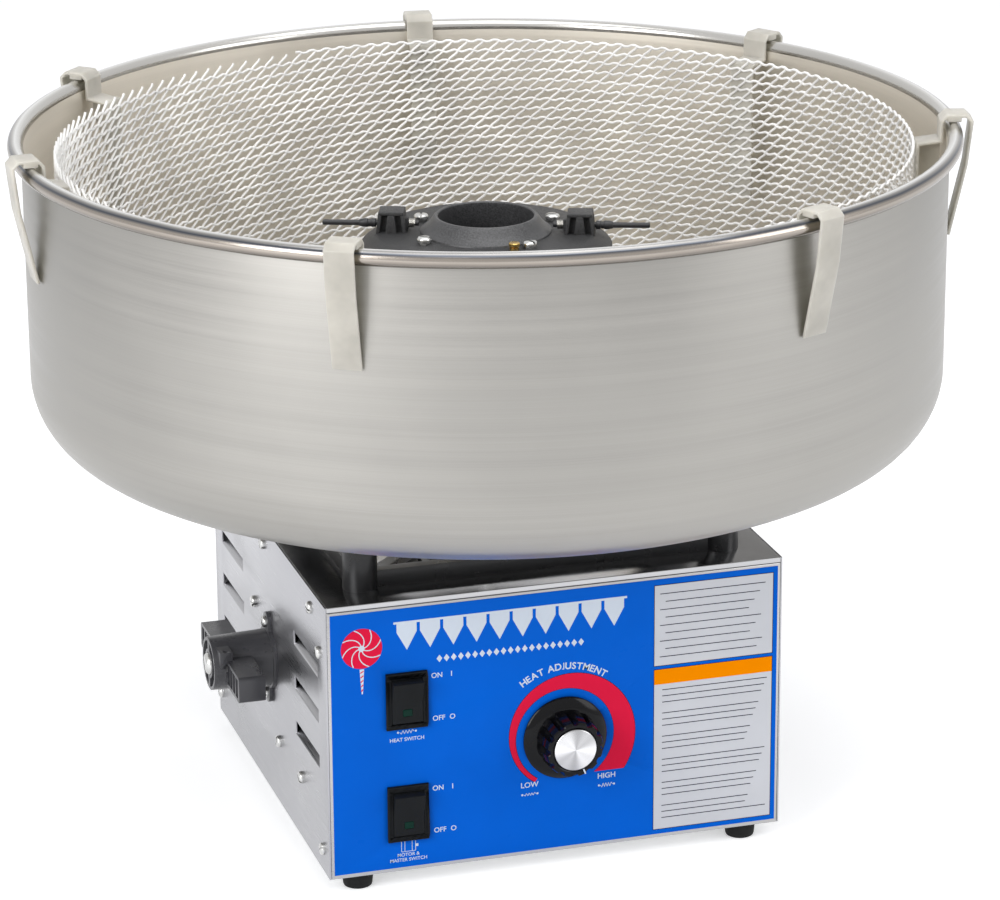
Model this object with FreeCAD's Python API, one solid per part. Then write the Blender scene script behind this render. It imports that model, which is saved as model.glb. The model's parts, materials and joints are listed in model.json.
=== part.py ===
import FreeCAD, Part
import math
import os

# Countertop cotton candy machine: a square sheet-metal cabinet with the motor and controls,
# a spinning heated head on the motor shaft, and a large lift-off bowl with a net held by clips.
# Millimetres. +Z is up, the front faces -Y, and the origin lies on the head's axis at table level.

# ---------------------------------------------------------------- driving sizes
CABINET_W = 327.0            # across the front
CABINET_D = 326.0            # front to back
CABINET_H = 199.0            # sheet-metal box without its feet
SHEET = 1.2                  # stainless sheet of every panel
FLANGE = 13.0                # width of the folded edges
HEM_BACK = 2.0               # side hems start this far behind the front panel's flange
FIT_GAP = 0.3                # between pieces that seat on each other without touching
RUNNING_GAP = 0.05           # radial gap of a shaft in its bore

FOOT_H = 12.0
FOOT_R = 11.2
FOOT_TAPER = 0.9             # share of the radius left at the table
FOOT_INSET_X = 23.5          # foot centre to the cabinet's side
FOOT_INSET_Y = 15.0          # foot centre to the cabinet's front or back

LOUVRE_LEN = 66.0
LOUVRE_H = 10.0
LOUVRE_PITCH = 33.5
LOUVRE_ROWS = 3
LOUVRE_TOP = 163.0           # upper edge of the highest window
LOUVRE_INSET_Y = 55.0        # middle of each group to the cabinet's front or back
LOUVRE_FLAP = 9.6            # length of the flap pushed inwards
LOUVRE_LEAN = 52.0           # degrees of the flap from upright

DECK_HOLE_R = 30.0
FRONT_LIP = 3.7              # height of the deck's folded front edge
OVERLAY_T = 0.6              # printed sheet on the front panel
OVERLAY_MARGIN = 2.2         # bare metal round the printed sheet
OVERLAY_LOW_MARGIN = 3.0     # bare metal under it

SWITCH_INSET = 55.9          # switches' middle to the cabinet's left side
SWITCH_Z = (138.5, 55.5)
BEZEL_W, BEZEL_H, BEZEL_T = 29.0, 41.0, 2.6
BEZEL_LAP = 1.5              # bezel over the body behind it, on every side
BEZEL_CHAMFER = 0.9
SWITCH_FIT = 0.2             # panel cut-out round the switch body
WELL_BACK = 3.2              # room behind the rocker
BLADE_W, BLADE_T, BLADE_L = 6.4, 0.8, 8.0
BLADE_X, BLADE_ROWS_Z = 6.0, (-11.0, 0.0, 11.0)
ROCKER_W, ROCKER_H = 21.7, 32.0
ROCKER_DISH = 10.0           # degrees of each half of the rocker's hollow face
ROCKER_TILT = 8.0            # degrees each side of the middle
ROCKER_FACE = 3.0            # the face's lowest line in front of the pivot
ROCKER_BACK = 6.0            # behind the pivot
SWITCH_BODY_DEPTH = 27.0
LENS_W, LENS_H, LENS_T, LENS_DROP = 6.6, 5.0, 1.3, 7.8
ROCKER_PIN_R, ROCKER_PIN_L = 1.5, 1.0

KNOB_X, KNOB_Z = 4.8, 97.6
KNOB_SKIRT_R, KNOB_GRIP_R, KNOB_CAP_R = 30.0, 22.4, 14.8
KNOB_STAND_OFF = 0.8
KNOB_H = 25.0
KNOB_SKIRT_H = 4.5
KNOB_FLUTES = 12
KNOB_FLUTE_R = 2.6
KNOB_FLUTE_OUT = 1.8         # flutes' middle outside the grip
KNOB_RIM = 1.2               # raised ring round the cap
KNOB_EDGE = 1.6              # thickness of the skirt's edge
KNOB_CAP_T, KNOB_CAP_EDGE, KNOB_CAP_PROUD = 1.6, 0.6, 0.3
KNOB_NUT_ROOM = 0.6          # round the control's nut
KNOB_NUT_OVER = 1.5          # over it
KNOB_BORE_SHORT = 3.0        # bore's end under the cap
KNOB_SHAFT_SHORT = 4.0       # shaft's end under the cap
CONTROL_SHAFT_R = 3.175
CONTROL_BODY_R, CONTROL_BODY_L = 19.0, 24.0
CONTROL_BUSH_R, CONTROL_BUSH_L = 4.75, 6.0
CONTROL_NUT_AF, CONTROL_NUT_T = 14.0, 2.4
CONTROL_BUSH_PROUD = 0.6     # threaded bush over its nut

SUPPORT_H = 62.0             # cabinet top to the underside of the bowl
POST_XY = 130.0              # corner posts of the bowl support, from the axis
POST_R = 12.0
RAIL_H, RAIL_W = 12.0, 9.0
SEAT_R, SEAT_T, SEAT_LAP = 156.0, 6.0, 6.0   # flat ring under the bowl, and the arms' overlap with it
SUPPORT_ARM_W = 16.0
SUPPORT_TUBE_R, SUPPORT_TUBE_H, SUPPORT_TUBE_T = 34.0, 26.0, 3.0
SUPPORT_SCREW = (71.0, 107.0)
SUPPORT_EAR = 18.0           # width of each screwed lug

BOWL_WALL_R = 321.0
BOWL_BEAD_R = 5.5
BOWL_BEAD_OUT = 9.2          # the bead stands out of the wall; a 26 inch bowl over it
BOWL_T = 1.5
BOWL_DEPTH = 215.0           # underside to the middle of the bead
BOWL_CORNER_R = 52.0
COVE_FLAT_COUNT = 3          # narrow flats that make up the coved corner
BEAD_FLAT_COUNT = 3
BEAD_WRAP_ANGLE = 125.0      # degrees of the bead each side of its outermost line
BOWL_HOLE_R = 122.0
BOWL_NECK_W = 9.0
BOWL_LIP = 7.0               # turned down round the hole

NET_INSET = 23.0             # net's middle inside the bowl's outer wall
NET_T = 1.2
NET_BELOW_RIM = 4.6          # net's top edge under the middle of the bead
NET_CELLS = 28               # coarse openings round the net
NET_ROWS = 2
NET_STRAND, NET_KNOT = 4.0, 5.6   # strands, and the knots between openings side by side

CLIP_ANGLES = {              # degrees from the front, turning towards the right side
    "front_right": 24.2, "right": 73.4, "back_right": 123.5, "back": 172.4,
    "back_left": 227.5, "left": 272.7, "front_left": 327.6,
}
CLIP_W = 20.0
CLIP_T = 2.2
CLIP_STAND_OUT = 8.0         # outermost face of a clip outside the bead
CLIP_TOP = 11.0              # top face over the middle of the bead
CLIP_TOE_DROP = 75.0
CLIP_KNEE_DROP = 25.0
CLIP_KNEE_IN = 3.4           # the outer leg's lean inwards down to its knee
CLIP_INNER_GAP = 3.5         # middle of the upper inner leg to the bowl's wall
CLIP_TOE_GAP = 0.6           # between the outer leg's toe and the bowl's wall
CLIP_SADDLE_W = 10.0         # block that rests on the bead
CLIP_WEB_TOP = 14.0          # depth of the web at the upper inner leg
CLIP_STEP_DROP = 8.0
CLIP_LEG_DROP = 112.0
CLIP_WEB_DROP = 60.0
CLIP_CHAMFER = 4.0

HEAD_TURN_ANGLE = -20.3      # the rods' line from the cabinet's width, as the head stands at rest
HEAD_TOP_Z = 427.6           # lip of the sugar collar
HEAD_PLATE_TOP_R, HEAD_PLATE_R = 75.0, 88.5
HEAD_PLATE_H = 12.0
COLLAR_H = 12.0
COLLAR_TOP_R, COLLAR_BASE_R, COLLAR_WALL = 36.0, 46.0, 2.4
COLLAR_STEP = 1.6            # upright edge at the collar's foot
COLLAR_WAIST_R, COLLAR_WAIST = 38.6, 0.5  # the collar's concave side, and its place up the collar
COLLAR_FLARE = 5.0           # the sugar hole widens this much downwards
HEAD_EDGE = 2.0              # upright edge of the cone plate
HEAD_SLOT_H = 13.0           # gap between the cover and the base that the floss leaves through
ELEMENT_R, ELEMENT_T, ELEMENT_SLOTS = 74.0, 5.0, 12
ELEMENT_SLOT_W, ELEMENT_SHIFT = 3.2, 2.5
HEAD_BASE_R, HEAD_BASE_T = 84.0, 4.0
HEAD_HUB_R, HEAD_HUB_L = 16.0, 38.0
HEAD_RIM_H, HEAD_RIM_T = 3.0, 3.0
HEAD_POST_R, HEAD_POST_AT = 4.0, 60.0
TOWER_AT, TOWER_L, TOWER_W, TOWER_H = 66.0, 17.6, 18.0, 15.0
TOWER_FLARE = 2.0            # the tower's foot is wider by this at each end
TOWER_SINK, TOWER_FLOOR = 1.0, 1.0           # foot into the plate, and metal under the slots
TOWER_SLOT_W, TOWER_SLOT_H, TOWER_SLOT_AT = 4.0, 12.0, 4.2
ROD_R, ROD_END, ROD_Z = 2.0, 114.8, 5.2
SLEEVE_R, SLEEVE_L = 3.0, 12.0
ROD_PROUD = 2.5              # the rod's inner end stands out of its spring by this
SPRING_R, SPRING_L = 3.3, 5.5
HEAD_SCREW_AT = 53.5
HEAD_SCREW_ANGLES = (17.9, 102.0, 222.0, 290.0)
HEAD_SCREW_R, HEAD_SCREW_H = 5.0, 4.6
TERMINAL_ANGLE, TERMINAL_R, TERMINAL_H = 4.6, 3.6, 5.6

SHAFT_R = 6.35               # half inch motor shaft
SHAFT_PROUD = 6.0            # shaft's end over the head's base
MOTOR_R, MOTOR_L, MOTOR_WALL = 56.0, 104.0, 3.0
BELL_H = 12.0                # the motor's lower end cap
MOTOR_PLATE_T, MOTOR_PLATE_W, MOTOR_PLATE_CORNER = 3.0, 196.0, 12.0
ISOLATOR_W, ISOLATOR_L, ISOLATOR_AT = 22.0, 40.0, 76.0
BEARING_R, BEARING_H = 16.0, 10.0
ROTOR_R, ROTOR_L, AIR_GAP = 36.0, 58.0, 1.0
RING_HUB_R, RING_HUB_L = 15.0, 26.0
RING_R, RING_W, RING_GAP, RING_FIRST = 19.0, 7.0, 5.0, 3.0
BRUSH_W, BRUSH_L = 6.0, 16.0
BRUSH_NARROWER = 1.0         # a brush lies this far inside each edge of its ring
HOLDER_IN, HOLDER_BACK, HOLDER_OVER = 4.0, 10.0, 3.0
HOLDER_FOOT, HOLDER_FOOT_T = 24.0, 4.0

CLEAT_Y, CLEAT_Z = -4.0, 117.0
CLEAT_FLANGE_R, CLEAT_FLANGE_T = 22.5, 3.0
CLEAT_EAR_R, CLEAT_SCREW_AT = 7.0, 27.0
CLEAT_HUB_R, CLEAT_END_R, CLEAT_OUT = 20.5, 19.0, 45.0
CLEAT_BAR_L, CLEAT_BAR_W, CLEAT_BAR_GAP, CLEAT_BAR_ROUND = 118.0, 19.0, 18.0, 3.0
CLEAT_WALL, CLEAT_RIBS, CLEAT_RIB_T = 2.4, 4, 1.8
CLEAT_SLOT_DEPTH, CLEAT_SPOKE_W, CLEAT_BOSS_W = 8.0, 4.4, 2.6
CLEAT_TAB_OUT, CLEAT_TAB_W, CLEAT_TAB_H, CLEAT_TAB_BACK = 5.0, 9.0, 12.0, 3.0
CLEAT_TAB_RISE = 4.0         # tab's lower face over the hub's middle
CLEAT_EYE_R, CLEAT_EYE_OUT = 1.8, 2.4
CLEAT_BOLT_R, CLEAT_BOLT_TOP_R, CLEAT_BOLT_T, CLEAT_BOLT_SEAT = 8.0, 5.8, 3.4, 3.0
CLEAT_SHANK_R, CLEAT_SHANK_L = 2.4, 24.0

SCREW_AF, SCREW_HEAD_H = 8.0, 3.2
LEFT_SCREWS = ((8.6, 198.5), (-125.4, 198.5), (140.0, 198.5), (-147.0, 174.0), (40.0, 143.0),
               (-28.0, 61.4), (-91.0, 59.3), (-148.0, 29.4), (153.0, 29.4))
RIGHT_SCREWS = ((8.6, 198.5), (-125.4, 198.5), (140.0, 198.5), (-147.0, 180.0), (-147.0, 114.0),
                (-147.0, 39.0), (153.0, 29.4), (153.0, 114.0))
REAR_SCREWS = ((-120.0, 198.5), (0.0, 198.5), (120.0, 198.5), (-120.0, 22.0), (0.0, 22.0),
               (120.0, 22.0))

GLAND_INSET, GLAND_Z = 55.5, 48.0   # from the cabinet's right side, and up
GLAND_BORE_R, GLAND_R, GLAND_FLANGE_R = 4.3, 8.0, 12.0
GLAND_OUT, GLAND_IN = 9.0, 12.0
GLAND_LIP = 2.4              # wall left at the gland's outer end

# ---------------------------------------------------------------- levels and faces worked out from them
HALF_W, HALF_D = CABINET_W / 2, CABINET_D / 2
IN_W, IN_D = HALF_W - SHEET, HALF_D - SHEET
BOX_Z0 = FOOT_H
DECK_Z = BOX_Z0 + CABINET_H
BOWL_Z = DECK_Z + SUPPORT_H
BEAD_Z = BOWL_Z + BOWL_DEPTH
BOWL_RIM_R = BOWL_WALL_R + BOWL_BEAD_OUT
BEAD_MID_R = BOWL_RIM_R - BOWL_BEAD_R
BOWL_IN_R = BOWL_WALL_R - BOWL_T
NET_R = BOWL_WALL_R - NET_INSET
BOWL_CORNER = (BOWL_WALL_R - BOWL_CORNER_R, BOWL_Z + BOWL_CORNER_R)   # middle of the coved corner's bend
FACE_Y = -HALF_D                          # front panel's outer face
PRINT_Y = FACE_Y - OVERLAY_T              # printed sheet's outer face
SWITCH_X = -HALF_W + SWITCH_INSET
GLAND_X = HALF_W - GLAND_INSET
LOUVRE_MID_Y = HALF_D - LOUVRE_INSET_Y
PLATE_Z = HEAD_TOP_Z - COLLAR_H           # top of the head's cone plate
COVER_Z0 = PLATE_Z - HEAD_PLATE_H
BASE_TOP_Z = COVER_Z0 - HEAD_SLOT_H
BASE_Z0 = BASE_TOP_Z - HEAD_BASE_T
MOTOR_PLATE_Z = DECK_Z - SHEET - ISOLATOR_L
MOTOR_TOP = MOTOR_PLATE_Z - MOTOR_PLATE_T
X_AXIS, Y_AXIS, Z_AXIS = (FreeCAD.Vector(1, 0, 0), FreeCAD.Vector(0, 1, 0), FreeCAD.Vector(0, 0, 1))
ORIGIN = FreeCAD.Vector(0, 0, 0)

nodes = {}


# ---------------------------------------------------------------- small helpers
def vec(x, y, z):
    return FreeCAD.Vector(x, y, z)


def block(x0, x1, y0, y1, z0, z1):
    low = vec(min(x0, x1), min(y0, y1), min(z0, z1))
    return Part.makeBox(abs(x1 - x0), abs(y1 - y0), abs(z1 - z0), low)


def cylinder(radius, length, base, direction=Z_AXIS):
    return Part.makeCylinder(radius, length, base, direction)


def tube(r_out, r_in, length, base, direction=Z_AXIS):
    return cylinder(r_out, length, base, direction).cut(cylinder(r_in, length, base, direction))


def moved(shape, x=0.0, y=0.0, z=0.0):
    copy = shape.copy()
    copy.translate(vec(x, y, z))
    return copy


def turned(shape, degrees, axis=Z_AXIS, centre=ORIGIN):
    copy = shape.copy()
    copy.rotate(centre, axis, degrees)
    return copy


def mirrored_x(shape):
    return shape.mirror(ORIGIN, X_AXIS)


def outline(point, start, steps):
    """Closed face. Each step is the end of a line, or the middle and the end of an arc."""
    edges, here = [], point(*start)
    for step in steps:
        if isinstance(step[0], tuple):
            middle, end = point(*step[0]), point(*step[1])
            edges.append(Part.Arc(here, middle, end).toShape())
        else:
            end = point(*step)
            edges.append(Part.LineSegment(here, end).toShape())
        here = end
    if here.distanceToPoint(point(*start)) > 1e-6:
        edges.append(Part.LineSegment(here, point(*start)).toShape())
    return Part.Face(Part.Wire(edges))


def lathe(start, *steps):
    """Solid of revolution about Z from an outline of (radius, height)."""
    face = outline(lambda r, z: vec(r, 0, z), start, steps)
    return face.revolve(ORIGIN, Z_AXIS, 360)


def strap(path, thickness):
    """Corner points of a strip of even thickness along an open path of (r, z) points."""
    sides = ([], [])
    for i, (r, z) in enumerate(path):
        before, after = path[max(i - 1, 0)], path[min(i + 1, len(path) - 1)]
        ways = []
        for (r0, z0), (r1, z1) in ((before, (r, z)), ((r, z), after)):
            length = math.hypot(r1 - r0, z1 - z0)
            if length > 0:
                ways.append((-(z1 - z0) / length, (r1 - r0) / length))
        nr, nz = sum(w[0] for w in ways), sum(w[1] for w in ways)
        size = math.hypot(nr, nz)
        nr, nz = nr / size, nz / size
        reach = thickness / 2 / (nr * ways[0][0] + nz * ways[0][1])
        sides[0].append((r + nr * reach, z + nz * reach))
        sides[1].append((r - nr * reach, z - nz * reach))
    return sides[0] + sides[1][::-1]


def hexagon(across_flats, length, base, direction):
    corner = across_flats / math.sqrt(3)
    points = [vec(corner * math.cos(math.radians(60 * i)), corner * math.sin(math.radians(60 * i)), 0)
              for i in range(6)]
    prism = Part.Face(Part.makePolygon(points + [points[0]])).extrude(vec(0, 0, length))
    prism.Placement = FreeCAD.Placement(base, FreeCAD.Rotation(Z_AXIS, direction))
    return prism


def screw_heads(places):
    """Hexagon heads of sheet-metal screws, each seated on its face."""
    return Part.makeCompound([hexagon(SCREW_AF, SCREW_HEAD_H, base, out) for base, out in places])


def keep(name, shape):
    solid = shape.removeSplitter() if len(shape.Solids) == 1 else shape
    nodes[name] = solid.Solids[0] if len(solid.Solids) == 1 else Part.makeCompound(solid.Solids)


# ---------------------------------------------------------------- where the screws go
def panel_points():
    left = [(vec(-HALF_W, y, z), -X_AXIS) for y, z in LEFT_SCREWS]
    right = [(vec(HALF_W, y, z), X_AXIS) for y, z in RIGHT_SCREWS]
    rear = [(vec(x, HALF_D, z), Y_AXIS) for x, z in REAR_SCREWS]
    return left + right + rear


def cleat_points():
    base_x = -HALF_W - CLEAT_FLANGE_T
    return [(vec(base_x, CLEAT_Y, CLEAT_Z + side * CLEAT_SCREW_AT), -X_AXIS) for side in (1, -1)]


def support_points():
    top = DECK_Z + RAIL_H / 2
    return [(vec(sx * SUPPORT_SCREW[0], sy * SUPPORT_SCREW[1], top), Z_AXIS)
            for sx in (-1, 1) for sy in (-1, 1)]


# ---------------------------------------------------------------- cabinet
def side_panel():
    """Right-hand panel: windows with flaps pushed inwards, hinged on their lower edges."""
    panel = block(IN_W, HALF_W, -HALF_D, HALF_D, BOX_Z0, DECK_Z)
    lean = math.radians(LOUVRE_LEAN)
    run = (-math.sin(lean), math.cos(lean))
    through = (-math.cos(lean), -math.sin(lean))
    windows, flaps = [], []
    for row in range(LOUVRE_ROWS):
        top = LOUVRE_TOP - row * LOUVRE_PITCH
        low = top - LOUVRE_H
        for side in (-1, 1):
            y0 = side * LOUVRE_MID_Y - LOUVRE_LEN / 2
            windows.append(block(IN_W - 1, HALF_W + 1, y0, y0 + LOUVRE_LEN, low, top))
            corners = [(HALF_W, low),
                       (HALF_W + run[0] * LOUVRE_FLAP, low + run[1] * LOUVRE_FLAP)]
            corners += [(x + through[0] * SHEET, z + through[1] * SHEET) for x, z in reversed(corners)]
            face = outline(lambda x, z: vec(x, y0, z), corners[0], corners[1:])
            flaps.append(face.extrude(vec(0, LOUVRE_LEN, 0)))
    return panel.cut(Part.makeCompound(windows)).fuse(flaps)


def top_deck():
    plate = block(-IN_W, IN_W, -HALF_D, IN_D, DECK_Z - SHEET, DECK_Z)
    lip = block(-IN_W, IN_W, FACE_Y, FACE_Y + SHEET, DECK_Z - FRONT_LIP, DECK_Z)
    side = block(IN_W - SHEET, IN_W, -HALF_D + FLANGE + HEM_BACK, IN_D, DECK_Z - SHEET - FLANGE, DECK_Z)
    back = block(-IN_W, IN_W, IN_D - SHEET, IN_D, DECK_Z - SHEET - FLANGE, DECK_Z)
    hole = cylinder(DECK_HOLE_R, 3 * SHEET, vec(0, 0, DECK_Z - 2 * SHEET))
    return plate.fuse([lip, side, mirrored_x(side), back]).cut(hole)


def base_pan():
    front = FACE_Y + SHEET
    plate = block(-IN_W, IN_W, front, IN_D, BOX_Z0, BOX_Z0 + SHEET)
    side = block(IN_W - SHEET, IN_W, front + FLANGE + HEM_BACK, IN_D, BOX_Z0, BOX_Z0 + SHEET + FLANGE)
    back = block(-IN_W, IN_W, IN_D - SHEET, IN_D, BOX_Z0, BOX_Z0 + SHEET + FLANGE)
    return plate.fuse([side, mirrored_x(side), back])


def rear_panel():
    plate = block(-IN_W, IN_W, IN_D, HALF_D, BOX_Z0, DECK_Z)
    hole = cylinder(GLAND_R + RUNNING_GAP, 3 * SHEET, vec(GLAND_X, IN_D - SHEET, GLAND_Z), Y_AXIS)
    return plate.cut(hole)


def switch_cut(z):
    half_w, half_h = BEZEL_W / 2 - BEZEL_LAP + SWITCH_FIT, BEZEL_H / 2 - BEZEL_LAP + SWITCH_FIT
    return block(SWITCH_X - half_w, SWITCH_X + half_w, PRINT_Y - 1, FACE_Y + SHEET + 1,
                 z - half_h, z + half_h)


def panel_cuts():
    bush = cylinder(CONTROL_BUSH_R + FIT_GAP, 4 * SHEET, vec(KNOB_X, PRINT_Y - 1, KNOB_Z), Y_AXIS)
    return Part.makeCompound([switch_cut(z) for z in SWITCH_Z] + [bush])


def front_panel():
    top = DECK_Z - FRONT_LIP - FIT_GAP
    half = IN_W - FIT_GAP / 2
    plate = block(-half, half, FACE_Y, FACE_Y + SHEET, BOX_Z0, top)
    side = block(half - SHEET, half, FACE_Y, FACE_Y + SHEET + FLANGE, BOX_Z0 + SHEET + FIT_GAP, top)
    ledge = block(-half, half, FACE_Y, FACE_Y + SHEET + FLANGE, top - SHEET, top)
    return plate.fuse([side, mirrored_x(side), ledge]).cut(panel_cuts())


def front_overlay():
    half = IN_W - OVERLAY_MARGIN
    z0, z1 = BOX_Z0 + OVERLAY_LOW_MARGIN, DECK_Z - FRONT_LIP - OVERLAY_MARGIN
    sheet = block(-half, half, PRINT_Y, FACE_Y, z0, z1)
    return sheet.cut(panel_cuts())


def foot_places():
    x, y = HALF_W - FOOT_INSET_X, HALF_D - FOOT_INSET_Y
    return {"front_left": (-x, -y), "front_right": (x, -y), "back_left": (-x, y), "back_right": (x, y)}


def foot(x, y):
    """Tapered rubber bumper."""
    return Part.makeCone(FOOT_R * FOOT_TAPER, FOOT_R, FOOT_H, vec(x, y, 0))


def build_cabinet():
    right = side_panel()
    keep("side_panel_right", right)
    keep("side_panel_left", mirrored_x(right))
    keep("top_deck", top_deck())
    keep("base_pan", base_pan())
    keep("rear_panel", rear_panel())
    keep("front_panel", front_panel())
    keep("front_overlay", front_overlay())
    for name, (x, y) in foot_places().items():
        keep("foot_" + name, foot(x, y))
    keep("fixing_screws", screw_heads(panel_points() + cleat_points() + support_points()))


def build_gland():
    """Snap-in bushing for the supply lead, left empty."""
    inner = -(GLAND_IN + SHEET)
    body = lathe((GLAND_BORE_R, inner), (GLAND_R, inner), (GLAND_R, 0), (GLAND_FLANGE_R, 0),
                 (GLAND_BORE_R + GLAND_LIP, GLAND_OUT), (GLAND_BORE_R, GLAND_OUT))
    body.Placement = FreeCAD.Placement(vec(GLAND_X, HALF_D, GLAND_Z), FreeCAD.Rotation(Z_AXIS, Y_AXIS))
    keep("lead_gland", body)


# ---------------------------------------------------------------- cord cleat on the left side
def outwards(shape):
    """Shape made along +Z from the origin, turned to stand out of the left side at the cleat."""
    shape.Placement = FreeCAD.Placement(vec(-HALF_W, CLEAT_Y, CLEAT_Z), FreeCAD.Rotation(Z_AXIS, -X_AXIS))
    return shape


def cleat_pockets(bar_in, bar_out, half_l, half_w):
    """Open cells in the outer face of both wings."""
    cell = (half_l - CLEAT_HUB_R - 2 * CLEAT_WALL) / CLEAT_RIBS
    cells = []
    for side in (-1, 1):
        for rib in range(CLEAT_RIBS):
            start = CLEAT_HUB_R + CLEAT_WALL + rib * cell
            cells.append(block(bar_out - 1, bar_in - CLEAT_WALL,
                               CLEAT_Y + side * start, CLEAT_Y + side * (start + cell - CLEAT_RIB_T),
                               CLEAT_Z - half_w + CLEAT_WALL, CLEAT_Z + half_w - CLEAT_WALL))
    return cells


def build_cleat():
    """Cleat for the wound-up lead: hub on a flange with two screwed ears, and two hollow wings."""
    out_x = -HALF_W - CLEAT_OUT
    spin = lathe((0, 0), (CLEAT_FLANGE_R, 0), (CLEAT_FLANGE_R, CLEAT_FLANGE_T), (CLEAT_HUB_R, CLEAT_FLANGE_T),
                 (CLEAT_END_R, CLEAT_OUT), (0, CLEAT_OUT))
    ears = [cylinder(CLEAT_EAR_R, CLEAT_FLANGE_T, cleat_base, -X_AXIS)
            for cleat_base in (vec(-HALF_W, CLEAT_Y, CLEAT_Z + side * CLEAT_SCREW_AT) for side in (1, -1))]
    ears.append(block(-HALF_W - CLEAT_FLANGE_T, -HALF_W, CLEAT_Y - CLEAT_EAR_R, CLEAT_Y + CLEAT_EAR_R,
                      CLEAT_Z - CLEAT_SCREW_AT, CLEAT_Z + CLEAT_SCREW_AT))
    bar_in = -HALF_W - CLEAT_BAR_GAP
    bar_out = bar_in - CLEAT_BAR_W
    half_w, half_l = CLEAT_BAR_W / 2, CLEAT_BAR_L / 2
    bar = block(bar_in, bar_out, CLEAT_Y - half_l, CLEAT_Y + half_l, CLEAT_Z - half_w, CLEAT_Z + half_w)
    outward_edges = [e for e in bar.Edges if abs(e.tangentAt(e.FirstParameter).x) > 0.9]
    bar = bar.makeFillet(CLEAT_BAR_ROUND, outward_edges)
    tab_x = out_x + CLEAT_TAB_BACK
    tab_y = CLEAT_Y - CLEAT_END_R - CLEAT_TAB_OUT
    tab = block(tab_x, tab_x + CLEAT_TAB_W, tab_y, CLEAT_Y - CLEAT_END_R / 2,
                CLEAT_Z + CLEAT_TAB_RISE, CLEAT_Z + CLEAT_TAB_RISE + CLEAT_TAB_H)
    eye = cylinder(CLEAT_EYE_R, 2 * CLEAT_TAB_H, vec(tab_x + CLEAT_TAB_W / 2, tab_y + CLEAT_EYE_OUT, CLEAT_Z))
    floor = CLEAT_OUT - CLEAT_SLOT_DEPTH
    ring = outwards(tube(CLEAT_END_R - CLEAT_WALL, CLEAT_BOLT_R + CLEAT_BOSS_W, CLEAT_SLOT_DEPTH + 1,
                         vec(0, 0, floor)))
    spokes = [outwards(turned(block(-CLEAT_HUB_R, CLEAT_HUB_R, -CLEAT_SPOKE_W / 2, CLEAT_SPOKE_W / 2,
                                    floor - 1, CLEAT_OUT + 2), 90 * i)) for i in range(2)]
    seat_z = CLEAT_OUT - CLEAT_BOLT_SEAT
    seat = outwards(cylinder(CLEAT_BOLT_R + FIT_GAP, 2 * CLEAT_BOLT_SEAT, vec(0, 0, seat_z)))
    shank_z = seat_z - CLEAT_SHANK_L
    shank_hole = outwards(cylinder(CLEAT_SHANK_R + RUNNING_GAP, CLEAT_SHANK_L, vec(0, 0, shank_z)))
    body = outwards(spin).fuse(ears + [bar, tab]).cut(Part.makeCompound(
        cleat_pockets(bar_in, bar_out, half_l, half_w)))
    keep("cord_cleat", body.cut(ring.cut(Part.makeCompound(spokes))).cut(seat).cut(eye).cut(shank_hole))
    head = Part.makeCone(CLEAT_BOLT_R, CLEAT_BOLT_TOP_R, CLEAT_BOLT_T, vec(0, 0, seat_z))
    shank = cylinder(CLEAT_SHANK_R, CLEAT_SHANK_L, vec(0, 0, shank_z))
    keep("cleat_bolt", outwards(head.fuse(shank)))


# ---------------------------------------------------------------- front controls
def rocker_outline():
    """Rocker's side view as (outwards, up) from its pivot: a drum with a hollow front."""
    r = ROCKER_H / 2
    slope = math.tan(math.radians(ROCKER_DISH))
    b = ROCKER_FACE * slope / (1 + slope ** 2)
    v = -b + math.sqrt(b * b - (ROCKER_FACE ** 2 - r * r) / (1 + slope ** 2))
    tip = (ROCKER_FACE + slope * v, v)
    back = (-ROCKER_BACK, math.sqrt(r * r - ROCKER_BACK ** 2))
    return tip, back, r


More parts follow.
